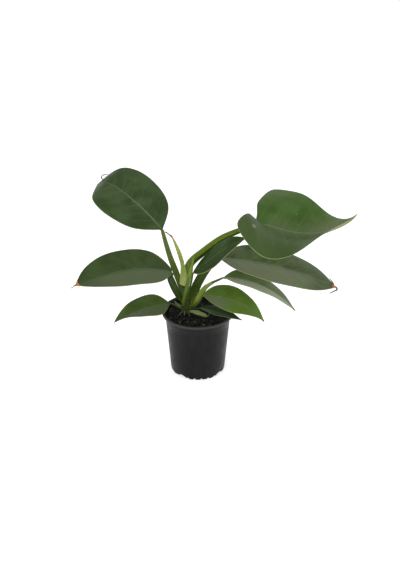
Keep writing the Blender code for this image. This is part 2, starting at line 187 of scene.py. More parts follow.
# %% Three softboxes
def softbox(name, place, target, size, power):
    """A large soft light that no glossy surface mirrors as a square."""
    light = bpy.data.lights.new(name, "AREA")
    light.shape = "RECTANGLE"
    light.size, light.size_y = size
    light.energy = power
    lamp = bpy.data.objects.new(name, light)
    bpy.context.scene.collection.objects.link(lamp)
    lamp.location = place
    lamp.rotation_euler = (Vector(target) - Vector(place)).to_track_quat("-Z", "Y").to_euler()
    lamp.visible_glossy = False
    return lamp


softbox("overhead_box", (-0.3, 0.1, 2.2), (0, 0, 0.1), (2.4, 2.0), 9)
softbox("front_box", (-0.5, -2.1, 1.25), (0, 0, 0.18), (2.2, 1.2), 24)
softbox("side_box", (1.9, -0.7, 0.9), (0.1, 0, 0.18), (1.0, 1.4), 6)
bpy.context.scene.view_settings.view_transform = "Standard"

# %% [markdown]
# ## Finishes
# Every surface here is painted by nodes. Writing a node tree takes many lines, so a few short helpers
# come first: one adds a calculation, one a soft step, one a blend of two colours and one a cloud of
# noise. Effects that several finishes share are node groups, which are built once. Each puts out only a
# mask or a height, and the Principled shader stays in the material that uses it.


# %% Node helpers
def feed(tree, socket, term):
    """Puts a plain value on a socket, or links another socket to it."""
    if isinstance(term, bpy.types.NodeSocket):
        tree.links.new(term, socket)
    else:
        socket.default_value = term


def calc(tree, operation, *terms, clamp=False):
    node = tree.nodes.new("ShaderNodeMath")
    node.operation = operation
    node.use_clamp = clamp
    for socket, term in zip(node.inputs, terms):
        feed(tree, socket, term)
    return node.outputs[0]


def times(tree, first, *others):
    """All of the terms multiplied together, such as masks that have to hold at once."""
    for other in others:
        first = calc(tree, "MULTIPLY", first, other)
    return first


print("value helpers:", [tool.__name__ for tool in (feed, calc, times)])


# %% Soft steps, blends and uneven edges
def step(tree, value, low, high):
    """0 where the value is under low, 1 over high, and smooth between. Low may be the larger one."""
    node = tree.nodes.new("ShaderNodeMapRange")
    node.interpolation_type = "SMOOTHSTEP"
    falling = not isinstance(low, bpy.types.NodeSocket) and low > high
    ends = (high, low, 1, 0) if falling else (low, high, 0, 1)
    for socket, term in zip(node.inputs, (value, *ends)):
        feed(tree, socket, term)
    return node.outputs[0]


def blend(tree, mask, first, second):
    node = tree.nodes.new("ShaderNodeMix")
    node.data_type = "RGBA"
    for index, term in ((0, mask), (6, first), (7, second)):
        is_plain = index and not isinstance(term, bpy.types.NodeSocket)
        feed(tree, node.inputs[index], (*term, 1) if is_plain else term)
    return node.outputs[2]


def wander(tree, cloud, reach):
    """A cloud's value round 0.5 as a shift to both sides of 0, so that an edge runs unevenly."""
    return calc(tree, "MULTIPLY", calc(tree, "SUBTRACT", cloud, 0.5), reach)


print("mask helpers:", [tool.__name__ for tool in (step, blend, wander)])


# %% Where a pattern sits, and how it stands out
def attribute(tree, name):
    node = tree.nodes.new("ShaderNodeAttribute")
    node.attribute_name = name
    return node.outputs["Fac"]


def object_place(tree, stretch=(1, 1, 1)):
    """Object coordinates, stretched along an axis where a pattern is."""
    mapping = tree.nodes.new("ShaderNodeMapping")
    mapping.inputs["Scale"].default_value = stretch
    tree.links.new(tree.nodes.new("ShaderNodeTexCoord").outputs["Object"], mapping.inputs["Vector"])
    return mapping.outputs[0]


def clouds(tree, place, scale, detail=2.0, roughness=0.5):
    node = tree.nodes.new("ShaderNodeTexNoise")
    for label, term in (("Vector", place), ("Scale", scale), ("Detail", detail), ("Roughness", roughness)):
        feed(tree, node.inputs[label], term)
    return node.outputs[0]


def bump(tree, height, distance):
    node = tree.nodes.new("ShaderNodeBump")
    node.inputs["Distance"].default_value = distance
    tree.links.new(height, node.inputs["Height"])
    return node.outputs[0]


print("pattern helpers:", [tool.__name__ for tool in (attribute, object_place, clouds, bump)])


# %% A new finish, and a group placed in it
def new_finish(name, roughness, **uniform):
    """A material, its tree and its shader. Uniform values go on the shader's own sockets."""
    finish = bpy.data.materials.new(name)
    finish.use_nodes = True
    shader = finish.node_tree.nodes["Principled BSDF"]
    shader.inputs["Roughness"].default_value = roughness
    for label, value in uniform.items():
        shader.inputs[label.replace("_", " ")].default_value = value
    return finish, finish.node_tree, shader


def place_group(tree, group, **terms):
    node = tree.nodes.new("ShaderNodeGroup")
    node.node_tree = group
    for label, term in terms.items():
        feed(tree, node.inputs[label.replace("_", " ")], term)
    return node.outputs


print("finish helpers:", new_finish.__name__, place_group.__name__)


# %% A node group, and the first shared effect: mottling
def new_group(name, inputs, outputs):
    """An empty group with float inputs at their own values, and its two ends."""
    group = bpy.data.node_groups.new(name, "ShaderNodeTree")
    for label, value in inputs.items():
        socket = group.interface.new_socket(label, in_out="INPUT", socket_type="NodeSocketFloat")
        socket.default_value = value
    for label in outputs:
        group.interface.new_socket(label, in_out="OUTPUT", socket_type="NodeSocketFloat")
    return group, group.nodes.new("NodeGroupInput").outputs, group.nodes.new("NodeGroupOutput").inputs


def make_mottling():
    """Two sizes of cloud, as one mask round 0.5 and one fine grain for bumps."""
    group, asked, result = new_group("mottling", {"Size": 60, "Grain Size": 900}, ("Mask", "Grain"))
    place = object_place(group)
    broad = clouds(group, place, asked["Size"], 3.0, 0.55)
    group.links.new(step(group, broad, 0.32, 0.68), result["Mask"])
    group.links.new(clouds(group, place, asked["Grain Size"], 2.0, 0.6), result["Grain"])
    return group


MOTTLING = make_mottling()
outputs = [item.name for item in MOTTLING.interface.items_tree if item.in_out == "OUTPUT"]
print(MOTTLING.name, "puts out", outputs)


# %% Specks: dried water drops on leaves, dust on plastic
def make_specks():
    """Small round spots. Few of the cells hold one, and the share of cells is an input."""
    group, asked, result = new_group("specks", {"Cells": 90, "Share": 0.1, "Radius": 0.12}, ("Mask",))
    cells = group.nodes.new("ShaderNodeTexVoronoi")
    group.links.new(object_place(group), cells.inputs["Vector"])
    group.links.new(asked["Cells"], cells.inputs["Scale"])
    lot = group.nodes.new("ShaderNodeSeparateColor")
    group.links.new(cells.outputs["Color"], lot.inputs[0])
    chosen = calc(group, "LESS_THAN", lot.outputs[0], asked["Share"])
    inside = calc(group, "LESS_THAN", cells.outputs["Distance"], asked["Radius"])
    group.links.new(calc(group, "MULTIPLY", chosen, inside), result["Mask"])
    return group


SPECKS = make_specks()
print(SPECKS.name, "ready")

# %% [markdown]
# ## The pot
# A thin nursery pot is blown or pressed from charcoal plastic. It has a rolled lip, a band a little wider
# than the wall below it, and a foot with drain holes and scallops that let water out. A profile spun
# round the upright axis gives all of that but the scallops. Those are pushed up into the spun foot, so
# they stay as round as in the mould.

# %% Pot sizes
RIM_RADIUS = 70 * MM
POT_HEIGHT = 128 * MM
FOOT_RADIUS = 52.8 * MM
WALL = 1.6 * MM
LIP_HEIGHT = 5 * MM
LIP_REACH = 6 * MM
BAND_HEIGHT = 11 * MM
BAND_STEP = 0.6 * MM
FLOOR_RAISE = 3 * MM
PAD_RADIUS = 18 * MM
POT_STEPS = 192
FEET = 4
FOOT_GAP = 5.5 * MM
FOOT_TURN = math.radians(-37)
RIPPLES = 24
RIPPLE_DEPTH = 3.4 * MM
DRAINS = 8
print("pot rim", 2 * RIM_RADIUS / MM, "mm across, foot", 2 * FOOT_RADIUS / MM, "mm")


# %% Spin a profile
def spun(profile, steps):
    """A closed bmesh from (radius, height) points that run from the axis back to the axis."""
    bm = bmesh.new()
    points = [bm.verts.new((radius, 0, height)) for radius, height in profile]
    rails = [bm.edges.new(pair) for pair in zip(points, points[1:])]
    bmesh.ops.spin(
        bm, geom=points + rails, cent=(0, 0, 0), axis=(0, 0, 1), angle=math.tau, steps=steps, use_merge=True
    )
    bmesh.ops.remove_doubles(bm, verts=bm.verts[:], dist=0.01 * MM)
    bmesh.ops.recalc_face_normals(bm, faces=bm.faces[:])
    print("spun", len(bm.faces), "faces")
    return bm


def along_line(start, end, count):
    """Points from start up to, but not at, end."""
    return [tuple(np.array(start) + (np.array(end) - np.array(start)) * i / count) for i in range(count)]


print("four points on a line:", along_line((0, 0), (0, 4), 4))


# %% The pot's section
def rounded_lip(top, radius, reach):
    """The rolled lip in section: up the inside, over the top, and down to its outer lower edge."""
    middle = (RIM_RADIUS - reach / 2, top - radius)
    turns = np.linspace(math.pi, -0.12 * math.pi, 12)
    return [(middle[0] + reach / 2 * math.cos(turn), middle[1] + radius * math.sin(turn)) for turn in turns]


def pot_profile():
    wall_top = RIM_RADIUS - LIP_REACH
    under_lip = POT_HEIGHT - LIP_HEIGHT
    band_foot = under_lip - BAND_HEIGHT
    floor = FLOOR_RAISE + WALL
    inside = [(0, floor)]
    inside += [(FOOT_RADIUS - WALL - 2 * MM, floor), (FOOT_RADIUS - WALL - 0.6 * MM, floor + 0.6 * MM)]
    inside += along_line((FOOT_RADIUS - WALL, floor + 2 * MM), (wall_top - WALL - BAND_STEP, band_foot), 6)
    inside += [(wall_top - WALL - BAND_STEP, band_foot), (wall_top - WALL, under_lip - 2 * MM)]
    lip = rounded_lip(POT_HEIGHT, 1.7 * MM, 4.4 * MM)
    outside = [(RIM_RADIUS - 0.3 * MM, under_lip + 1 * MM), (RIM_RADIUS - 1.2 * MM, under_lip)]
    outside += [(wall_top + 0.5 * MM, under_lip - 0.2 * MM), (wall_top - 0.2 * MM, under_lip - 1.2 * MM)]
    outside += [(wall_top - 0.8 * MM, band_foot + 0.7 * MM), (wall_top - 1 * MM, band_foot + 0.2 * MM)]
    under_band = (wall_top - 0.8 * MM - BAND_STEP, band_foot - 0.6 * MM)
    outside += along_line(under_band, (FOOT_RADIUS + 0.9 * MM, 9 * MM), 8)
    foot = [(FOOT_RADIUS + 0.6 * MM, 6 * MM), (FOOT_RADIUS + 0.2 * MM, 3.5 * MM)]
    foot += [(FOOT_RADIUS - 0.4 * MM, 1.5 * MM), (FOOT_RADIUS - 1.4 * MM, 0.4 * MM)]
    foot += [(FOOT_RADIUS - 2.6 * MM, 0), (FOOT_RADIUS - 5.5 * MM, 0)]
    foot += [(FOOT_RADIUS - 6.6 * MM, 0.5 * MM), (FOOT_RADIUS - 7.4 * MM, FLOOR_RAISE - 0.4 * MM)]
    foot += [(FOOT_RADIUS - 8 * MM, FLOOR_RAISE), (PAD_RADIUS + 2 * MM, FLOOR_RAISE), (PAD_RADIUS, 0), (0, 0)]
    return inside + lip + outside + foot


print("points in the pot's section:", len(pot_profile()))


# %% Push the scallops into the foot
def scallop(bm):
    for point in bm.verts:
        radius = point.co.xy.length
        if point.co.z > 9 * MM or radius < PAD_RADIUS + 3 * MM:
            continue
        turn = math.atan2(point.co.y, point.co.x) - FOOT_TURN
        gap = FOOT_GAP * max(0, math.cos(FEET * turn)) ** 4
        ripple = RIPPLE_DEPTH * max(0, math.cos(RIPPLES * turn)) ** 3
        outer = min(1, max(0, (radius - FOOT_RADIUS + 9 * MM) / (3 * MM)))
        low = 1 - point.co.z / (9 * MM)
        point.co.z += max(gap, ripple) * outer * low


print("gaps in the foot:", FEET, "of", FOOT_GAP / MM, "mm, ripples:", RIPPLES)


# %% Drill the drain holes
def drain_tool():
    """Round drills standing in a circle, as one cutter that is removed after use."""
    bm = bmesh.new()
    for turn in range(DRAINS):
        drill = bmesh.ops.create_cone(
            bm, cap_ends=True, segments=24, radius1=4 * MM, radius2=4 * MM, depth=30 * MM
        )["verts"]
        angle = turn * math.tau / DRAINS
        bmesh.ops.translate(bm, verts=drill, vec=(31 * MM * math.cos(angle), 31 * MM * math.sin(angle), 0))
    return add_object("drain_tool", mesh_of(bm, "drain_tool"))


def apply_modifiers(piece):
    bpy.context.view_layer.update()
    graph = bpy.context.evaluated_depsgraph_get()
    flat = bpy.data.meshes.new_from_object(piece.evaluated_get(graph))
    piece.modifiers.clear()
    piece.data = flat


def make_pot(finish):
    bm = spun(pot_profile(), POT_STEPS)
    scallop(bm)
    pot = add_object("pot_shell", mesh_of(bm, "pot_shell"), finish)
    tool = drain_tool()
    drilled = pot.modifiers.new("drains", "BOOLEAN")
    drilled.operation = "DIFFERENCE"
    drilled.object = tool
    apply_modifiers(pot)
    bpy.data.objects.remove(tool)
    return pot


print("drain holes to drill:", DRAINS)


# %% Charcoal plastic
def make_charcoal():
    """Satin charcoal in uneven patches, with a painted highlight along the rolled lip, dust specks and faint
    upright flow lines.
    """
    finish, tree, shader = new_finish("charcoal_plastic", 0.42, Specular_IOR_Level=0.13)
    cloud = place_group(tree, MOTTLING, Size=45, Grain_Size=1400)
    flow = clouds(tree, object_place(tree, (1, 1, 0.06)), 260, 2.0)
    dust = place_group(tree, SPECKS, Cells=130, Share=0.02, Radius=0.09)["Mask"]
    black = blend(tree, cloud["Mask"], (0.0036, 0.0042, 0.0036), (0.0066, 0.0076, 0.0066))
    streaked = blend(tree, step(tree, flow, 0.5, 0.72), black, (0.0085, 0.0098, 0.0088))
    height = tree.nodes.new("ShaderNodeSeparateXYZ")
    tree.links.new(object_place(tree), height.inputs[0])
    # painted highlight: a lighter band round the top of the rolled lip
    rim = times(tree, step(tree, height.outputs[2], POT_HEIGHT - 4.6 * MM, POT_HEIGHT - 2.4 * MM), 0.9)
    streaked = blend(tree, rim, streaked, (0.050, 0.054, 0.050))
    dusty = blend(tree, calc(tree, "MULTIPLY", dust, 0.7), streaked, (0.20, 0.19, 0.17))
    tree.links.new(dusty, shader.inputs["Base Color"])
    rough = calc(tree, "ADD", calc(tree, "MULTIPLY", cloud["Mask"], 0.12), 0.36)
    tree.links.new(rough, shader.inputs["Roughness"])
    relief = calc(tree, "ADD", cloud["Grain"], calc(tree, "MULTIPLY", flow, 0.8))
    tree.links.new(bump(tree, relief, 0.0001), shader.inputs["Normal"])
    return finish


pot = hand_over(make_pot(make_charcoal()), "pot")
print("pot faces:", faces_made["pot_shell"])

# %% [markdown]
# ## Potting mix
# The pot is filled with dark peat and bark. A spun plug gives the volume, and its top is raised and
# lowered by three sizes of noise, so it has clods, hollows and crumbs. Loose bark chips and a few pale
# bits lie on it. Each chip is a cube with its corners pushed about, because a chip has only a few flat
# faces and there are hundreds of them.

# %% Soil sizes
SOIL_TOP = 118 * MM
SOIL_RELIEF = 2.4 * MM
STEM_X, STEM_Y = -23 * MM, 12 * MM
CROWN = Vector((STEM_X, STEM_Y))


def inner_wall(height):
    """The pot's inside radius at a height."""
    low = (FLOOR_RAISE + WALL + 2 * MM, FOOT_RADIUS - WALL)
    high = (POT_HEIGHT - LIP_HEIGHT - BAND_HEIGHT, RIM_RADIUS - LIP_REACH - WALL - BAND_STEP)
    share = (height - low[0]) / (high[0] - low[0])
    return low[1] + share * (high[1] - low[1])


def soil_height(x, y):
    """The soil's surface: level at the crown and against the wall, lumpy between them."""
    place = Vector((x, y, 0.3))
    clods = noise.fractal(place / (15 * MM), 1.0, 2.0, 2)
    crumbs = noise.fractal(place / (4 * MM), 1.0, 2.0, 3)
    away = (Vector((x, y)) - CROWN).length
    free = float(smoothstep(12 * MM, 30 * MM, away))
    return SOIL_TOP + SOIL_RELIEF * clods * free + 0.75 * MM * crumbs * (0.35 + 0.65 * free)


print("soil height at the crown:", round(soil_height(STEM_X, STEM_Y) / MM, 1), "mm")


# %% Spin the soil and lift its top
def make_soil(finish):
    floor = FLOOR_RAISE + WALL + 0.3 * MM
    edge = inner_wall(SOIL_TOP) - 0.6 * MM
    profile = [(0, floor), (FOOT_RADIUS - WALL - 2.6 * MM, floor)]
    profile += [(FOOT_RADIUS - WALL - 0.6 * MM, floor + 2.4 * MM)]
    profile += [(edge * share, SOIL_TOP) for share in np.linspace(1, 0, 56)]
    bm = spun(profile, 120)
    for point in bm.verts:
        if point.co.z > SOIL_TOP - MM:
            point.co.z = soil_height(point.co.x, point.co.y)
    return add_object("peat", mesh_of(bm, "peat"), finish)


print("the soil reaches out to", round(inner_wall(SOIL_TOP) / MM, 1), "mm")


# %% Bark chips on the surface
CHIPS = 700
PALE_SHARE = 0.05


def make_chips(finish):
    picks = np.random.default_rng(11)
    bm = bmesh.new()
    tone = bm.verts.layers.float.new("tone")
    reach = inner_wall(SOIL_TOP) - 4 * MM
    for _ in range(CHIPS):
        radius, turn = reach * math.sqrt(picks.random()), picks.uniform(0, math.tau)
        x, y = radius * math.cos(turn), radius * math.sin(turn)
        if (Vector((x, y)) - CROWN).length < 11 * MM:
            continue
        length = picks.gamma(3.0, 0.85) * MM + 0.9 * MM
        size = (length, length * picks.uniform(0.3, 0.8), length * picks.uniform(0.15, 0.4))
        chip = bmesh.ops.create_cube(bm, size=1)["verts"]
        bmesh.ops.scale(bm, verts=chip, vec=size)
        for point in chip:
            point.co *= picks.uniform(0.7, 1.15)
            point[tone] = picks.uniform(0, 0.25) if length < 6 * MM else picks.uniform(0.1, 0.5)
        lean = Vector(picks.normal(0, 0.45, 3)) + Vector((0, 0, 1))
        spin = Vector((0, 0, 1)).rotation_difference(lean).to_matrix()
        bmesh.ops.rotate(bm, verts=chip, cent=(0, 0, 0), matrix=spin)
        heading = Vector((math.cos(turn * 7), math.sin(turn * 7), 0)).to_track_quat("X", "Z").to_matrix()
        bmesh.ops.rotate(bm, verts=chip, cent=(0, 0, 0), matrix=heading)
        bmesh.ops.translate(bm, verts=chip, vec=(x, y, soil_height(x, y) + 0.3 * size[2]))
        pale = picks.random() < PALE_SHARE
        for point in chip:
            point[tone] = 0.95 if pale else point[tone]
    bmesh.ops.triangulate(bm, faces=bm.faces[:])
    mesh = mesh_of(bm, "bark_chips")
    mesh.shade_flat()
    return add_object("bark_chips", mesh, finish)


print("chips to scatter:", CHIPS, "about", round(CHIPS * PALE_SHARE), "of them pale")


# %% Peat and bark
def make_peat():
    finish, tree, shader = new_finish("damp_peat", 0.9, Specular_IOR_Level=0.2)
    cloud = place_group(tree, MOTTLING, Size=320, Grain_Size=2400)
    damp = blend(tree, cloud["Mask"], (0.0045, 0.0048, 0.0040), (0.0110, 0.0112, 0.0090))
    fibre = step(tree, clouds(tree, object_place(tree, (1, 1.7, 1)), 700, 2.0), 0.64, 0.78)
    tree.links.new(blend(tree, fibre, damp, (0.030, 0.030, 0.022)), shader.inputs["Base Color"])
    tree.links.new(bump(tree, cloud["Grain"], 0.0012), shader.inputs["Normal"])
    return finish


def make_bark():
    finish, tree, shader = new_finish("bark", 0.6, Specular_IOR_Level=0.4)
    tone = attribute(tree, "tone")
    cloud = place_group(tree, MOTTLING, Size=500, Grain_Size=3000)
    dark = blend(tree, step(tree, tone, 0.0, 0.5), (0.0040, 0.0042, 0.0036), (0.032, 0.029, 0.025))
    worn = blend(tree, calc(tree, "MULTIPLY", cloud["Mask"], 0.35), dark, (0.026, 0.024, 0.018))
    mixed = blend(tree, step(tree, tone, 0.8, 0.9), worn, (0.095, 0.105, 0.070))
    tree.links.new(mixed, shader.inputs["Base Color"])
    tree.links.new(bump(tree, cloud["Grain"], 0.0004), shader.inputs["Normal"])
    return finish


hand_over(make_soil(make_peat()), "soil")
hand_over(make_chips(make_bark()))
print("soil faces:", faces_made["peat"], "chip faces:", faces_made["bark_chips"])

# %% [markdown]
# ## Stem
# The crown of the plant stands on a short ringed stem. Each ring is the scar of a leaf that has gone. It
# is a spun profile whose rings are in the section, with old sheath fibres suggested by an upright streak
# in its colour.


# %% The ringed stem
STEM_BASE = 92 * MM
STEM_TOP = 172 * MM


def stem_radius(height):
    ends = (
        [STEM_BASE, 108 * MM, 126 * MM, 152 * MM, 170 * MM],
        [5.4 * MM, 9 * MM, 9 * MM, 7.6 * MM, 6.6 * MM],
    )
    rings = 0.35 * MM * abs(math.sin(height / (9 * MM) * math.pi)) ** 0.5
    return float(np.interp(height, *ends)) - 0.35 * MM + rings


def make_stem(finish):
    heights = np.linspace(STEM_BASE, STEM_TOP, 90)
    profile = [(0, STEM_BASE)] + [(stem_radius(height), height) for height in heights]
    profile += [(4.6 * MM, STEM_TOP + 0.5 * MM), (0, STEM_TOP + 0.6 * MM)]
    bm = spun(profile, 40)
    bmesh.ops.translate(bm, verts=bm.verts[:], vec=(STEM_X, STEM_Y, 0))
    return add_object("ringed_stem", mesh_of(bm, "ringed_stem"), finish)


def make_stem_skin():
    finish, tree, shader = new_finish("stem_skin", 0.6)
    streak = clouds(tree, object_place(tree, (1, 1, 0.12)), 420, 3.0)
    cloud = place_group(tree, MOTTLING, Size=120, Grain_Size=900)
    green = blend(tree, cloud["Mask"], (0.035, 0.055, 0.010), (0.075, 0.090, 0.022))
    streaked = blend(tree, step(tree, streak, 0.5, 0.7), green, (0.05, 0.035, 0.018))
    tree.links.new(streaked, shader.inputs["Base Color"])
    tree.links.new(bump(tree, streak, 0.0006), shader.inputs["Normal"])
    return finish


hand_over(make_stem(make_stem_skin()), "stem")
print("stem faces:", faces_made["ringed_stem"])

# %% [markdown]
# ## Leaf blades
# A philodendron blade is one thin skin with a stout midrib, side veins that leave it in pairs, and a waxy
# upper face. All ten blades come from one formula. It takes a flat grid, with s from base to tip and v
# from edge to edge. The outline gives each row its half width, and the midrib's pitch, heading and roll
# say where the row stands in space. A leaf is then a short list of plain settings, and a change of one
# angle bends the whole blade as a hand would.

# %% The ten blades
# Seat is where a blade meets its petiole. Heading turns from +X towards +Y, pitch lifts the midrib, droop
# and curl bend it along its length, roll and twist turn the blade about it. Belly is where it is widest,
# fullness shapes its outline, and drip is the share of its length that is only a drip tip. Fold lifts
# both halves into a V, at the base and at the tip, and recurve rolls their margins back down. Angles are
# in degrees and lengths in millimetres.
LEAVES = {
    "upper_left": dict(
        seat=(-68.7, 50, 277.5), heading=133, pitch=28, droop=-17.5, curl=-70, swing=8, roll=-20.6,
        twist=-5, length=196, width=121, belly=0.55, fullness=0.5, fold=13.7, fold_tip=10.6, recurve=25.6,
        curl_late=10,
    ),
    "middle_left": dict(
        seat=(-48.8, -12, 218.4), heading=197.7, pitch=21.8, droop=-41.3, curl=17.3, swing=18.4,
        roll=-22.4, twist=7, length=198, width=96, belly=0.45, fullness=0.52, fold=15.8, fold_tip=16,
        recurve=13.8, lobe_share=(0.08, 0.08), drip=0.03, seat_drop=3,
    ),
    "lower_left": dict(
        seat=(-55.1, 6, 139.6), heading=200, pitch=4.3, droop=-17.6, curl=-10.7, swing=12.8, roll=-27.6,
        twist=31.5, length=119, width=60, belly=0.383, fullness=0.567, fold=14, fold_tip=28, recurve=17,
        drip=0.04,
    ),
    "upper_right": dict(
        seat=(107.6, 30, 295.9), heading=-6.2, pitch=-24.8, droop=62.5, curl=28, swing=-12, roll=5.3,
        twist=12.9, length=215, width=182, belly=0.266, fullness=0.62, fold=33.4, fold_tip=88,
        fold_late=3.07, fold_near=-6.4, recurve=32.7, lobe=(39.1, 11.4), lobe_share=(0.7, 0.62),
        lobe_fall=2, lobe_round=(1.7, 39), lobe_back=(2.5, -3.8), lobe_flare=(22.7, 6.3), lobe_lift=-10,
        seat_drop=1.5, cage=(14, 8),
    ),
    "long_right": dict(
        seat=(40.9, 30, 227.4), heading=-4.4, pitch=-2, droop=-23.4, curl=-3.8, swing=2.9, roll=15.6,
        twist=-2.4, length=238, width=101, belly=0.474, fullness=0.522, fold=15.4, fold_tip=0,
        recurve=20.7, drip=0.02,
    ),
    "inner_right": dict(
        seat=(-9, -12, 216.2), heading=-13.4, pitch=47, droop=-11, curl=-9.9, swing=-1.8, roll=13,
        twist=11.5, length=132, width=63, belly=0.392, fullness=0.647, fold=5, fold_tip=17, recurve=21,
    ),
    "lower_right": dict(
        seat=(50.2, 0, 199.4), heading=4, pitch=-2.5, droop=-50.8, curl=1.5, swing=-9.3, roll=8,
        twist=-10, length=164, width=63, belly=0.421, fullness=0.442, fold=17, fold_tip=5, recurve=14,
        drip=0.08,
    ),
    "front_right": dict(
        seat=(9.1, -15, 169.5), heading=-1.5, pitch=-0.5, droop=-46.6, curl=-11, swing=2, roll=11.6,
        twist=16, length=139, width=71, belly=0.378, fullness=0.766, fold=15, fold_tip=19, recurve=22.5,
        drip=0.03, seat_drop=1.6,
    ),
    "over_rim": dict(
        seat=(7.2, -8, 138.4), heading=-28.3, pitch=0.8, droop=-9.2, curl=0.8, swing=1.7, roll=-5,
        twist=7, length=88, width=35, belly=0.404, fullness=0.646, fold=19.7, fold_tip=8, recurve=18,
        drip=0.08,
    ),
    "youngest": dict(
        seat=(-15.1, -4, 128.4), heading=-20.3, pitch=0, droop=-18.8, curl=3.5, swing=-1, roll=5.6,
        twist=12.8, length=38, width=11, belly=0.44, fullness=0.614, fold=16, fold_tip=15, recurve=14,
    ),
}
print("blades:", len(LEAVES), "the longest", max(leaf["length"] for leaf in LEAVES.values()), "mm")


# %% The outline and the midrib's own frame
MIDRIB_STEPS = 48
LOBE_HUMP = 0.6  # below 1, a lobe's edge is pushed out nearer the midrib


def outline_share(leaf, s):
    """Half width along the blade as a share of its widest."""
    belly = leaf["belly"]
    s = np.minimum(s / (1 - leaf.get("drip", 0)), 1)
    rise = leaf["fullness"]
    fall = rise * (1 - belly) / belly
    return (s / belly) ** rise * ((1 - s) / (1 - belly)) ** fall


def leaf_frame(leaf, u):
    """Unit vectors along the midrib, across the blade and out of its upper face, at share u of the length."""
    pitch = np.radians(leaf["pitch"] + leaf["droop"] * u + leaf["curl"] * u ** leaf.get("curl_late", 4))
    heading = np.radians(leaf["heading"] + leaf["swing"] * u)
    roll = np.radians(leaf["roll"] + leaf["twist"] * u)
    along = np.stack([np.cos(pitch) * np.cos(heading), np.cos(pitch) * np.sin(heading), np.sin(pitch)], -1)
    level = np.stack([-np.sin(heading), np.cos(heading), 0 * heading], -1)
    out = np.cross(along, level)
    cos, sin = np.cos(roll)[..., None], np.sin(roll)[..., None]
    return along, level * cos + out * sin, out * cos - level * sin


def halves(leaf, key, v):
    """A setting that the near half (v below 0) and the far half of a blade have each of their own."""
    near, far = leaf.get(key, (0, 0))
    return np.where(v > 0, far, near)


def half_width(leaf, s, v):
    """Half the blade's width in metres, with a little at both ends so that no row shrinks to a point."""
    share = outline_share(leaf, s) + halves(leaf, "lobe_share", v) * (1 - s) ** leaf.get("lobe_fall", 4)
    ends = 2 * MM * (1 - s) ** 6 + (0.3 + 20 * (1 - s)) * MM * s**8
    return leaf["width"] * MM / 2 * share + ends


widest = max(half_width(LEAVES["long_right"], np.linspace(0, 1, 51), np.ones(51)))
print("the long right blade is", round(2 * widest / MM), "mm wide")


# %% Where the points of a blade lie
def blade_points(leaf, s, v):
    """Points of the upper face: s runs from base to tip, v from -1 to 1 across."""
    length = leaf["length"] * MM
    half = leaf["width"] * MM / 2
    span = np.linspace(0, 1, MIDRIB_STEPS + 1)
    steps = leaf_frame(leaf, (span[1:] + span[:-1]) / 2)[0] * length / MIDRIB_STEPS
    midrib = np.concatenate([np.zeros((1, 3)), np.cumsum(steps, 0)]) + np.array(leaf["seat"]) * MM

    side = np.abs(v)
    near_base = (1 - s) ** 4
    out = side * half_width(leaf, s, v)
    turn = np.radians(90 + halves(leaf, "lobe_round", v) * near_base)
    hump = np.sin(np.pi * side**LOBE_HUMP) * (1 - s) ** 6
    back = halves(leaf, "lobe", v) * (1 - s) ** 3 * np.sin(side * turn) + halves(leaf, "lobe_back", v) * hump
    x = s - back * MM / length
    fold = leaf["fold"] + (leaf["fold_tip"] - leaf["fold"]) * s ** leaf.get("fold_late", 2)
    fold = fold + np.where(v < 0, leaf.get("fold_near", 0), 0) * 6.75 * s**2 * (1 - s)
    slope = np.radians(fold - leaf["recurve"] * out / half / 2)

    held = np.clip(x, 0, 1)
    centre = np.stack([np.interp(held, span, midrib[:, axis]) for axis in range(3)], -1)
    along, across, up = leaf_frame(leaf, held)
    behind = np.minimum(x, 0) * length
    lift = leaf.get("lobe_lift", 0) * MM * (behind / (40 * MM)) ** 2
    lift = lift + halves(leaf, "lobe_flare", v) * MM * hump
    centre = centre + along * behind[..., None] + up * lift[..., None]
    level, raised = out * np.cos(slope) * np.sign(v), out * np.sin(slope)
    return centre + across * level[..., None] + up * raised[..., None]


long_tip = blade_points(LEAVES["long_right"], np.ones(1), np.zeros(1))[0]
print("its tip is at", (long_tip / MM).round(1), "mm")


# %% A blade from a coarse cage
SOFT_MIDRIBS = {"upper_right": 3}  # how many times the fold along a broad blade's midrib is smoothed


def smooth_blade(name, leaf):
    """A few large faces bent into the blade's shape and subdivided. Every point keeps its own s and v."""
    columns, rows = leaf.get("cage", (8, 4))
    bm = bmesh.new()
    bmesh.ops.create_grid(bm, x_segments=columns, y_segments=rows, size=1)
    flat = np.array([point.co[:2] for point in bm.verts])
    s, v = (flat[:, 0] + 1) / 2, flat[:, 1]
    along, across = bm.verts.layers.float.new("s"), bm.verts.layers.float.new("v")
    for point, place, share, side in zip(bm.verts, blade_points(leaf, s, v), s, v):
        point.co = place
        point[along], point[across] = share, side
    fold = [point for point in bm.verts if abs(point[across]) < 0.3 and 0.1 < point[along] < 0.9]
    for _ in range(SOFT_MIDRIBS.get(name, 0)):
        bmesh.ops.smooth_vert(bm, verts=fold, factor=0.4, use_axis_x=True, use_axis_y=True, use_axis_z=True)
    piece = add_object("blade_" + name, mesh_of(bm, "blade_" + name))
    smooth = piece.modifiers.new("smooth", "SUBSURF")
    smooth.levels = smooth.render_levels = 4 if columns < 12 else 3
    apply_modifiers(piece)
    return piece


print("blades with a softened midrib:", list(SOFT_MIDRIBS))


# %% Side veins, quilting and a wavy margin
SIDE_LEAN, SIDE_BEND = 0.16, 0.07  # how side veins lean towards the tip, as shares of the length


def vein_beat(leaf, s, side):
    """Counts side veins, whole on a vein. They lean towards the tip and bend more near the margin."""
    return (s - SIDE_LEAN * side - SIDE_BEND * side**2.5) * leaf.get("laterals", 8)


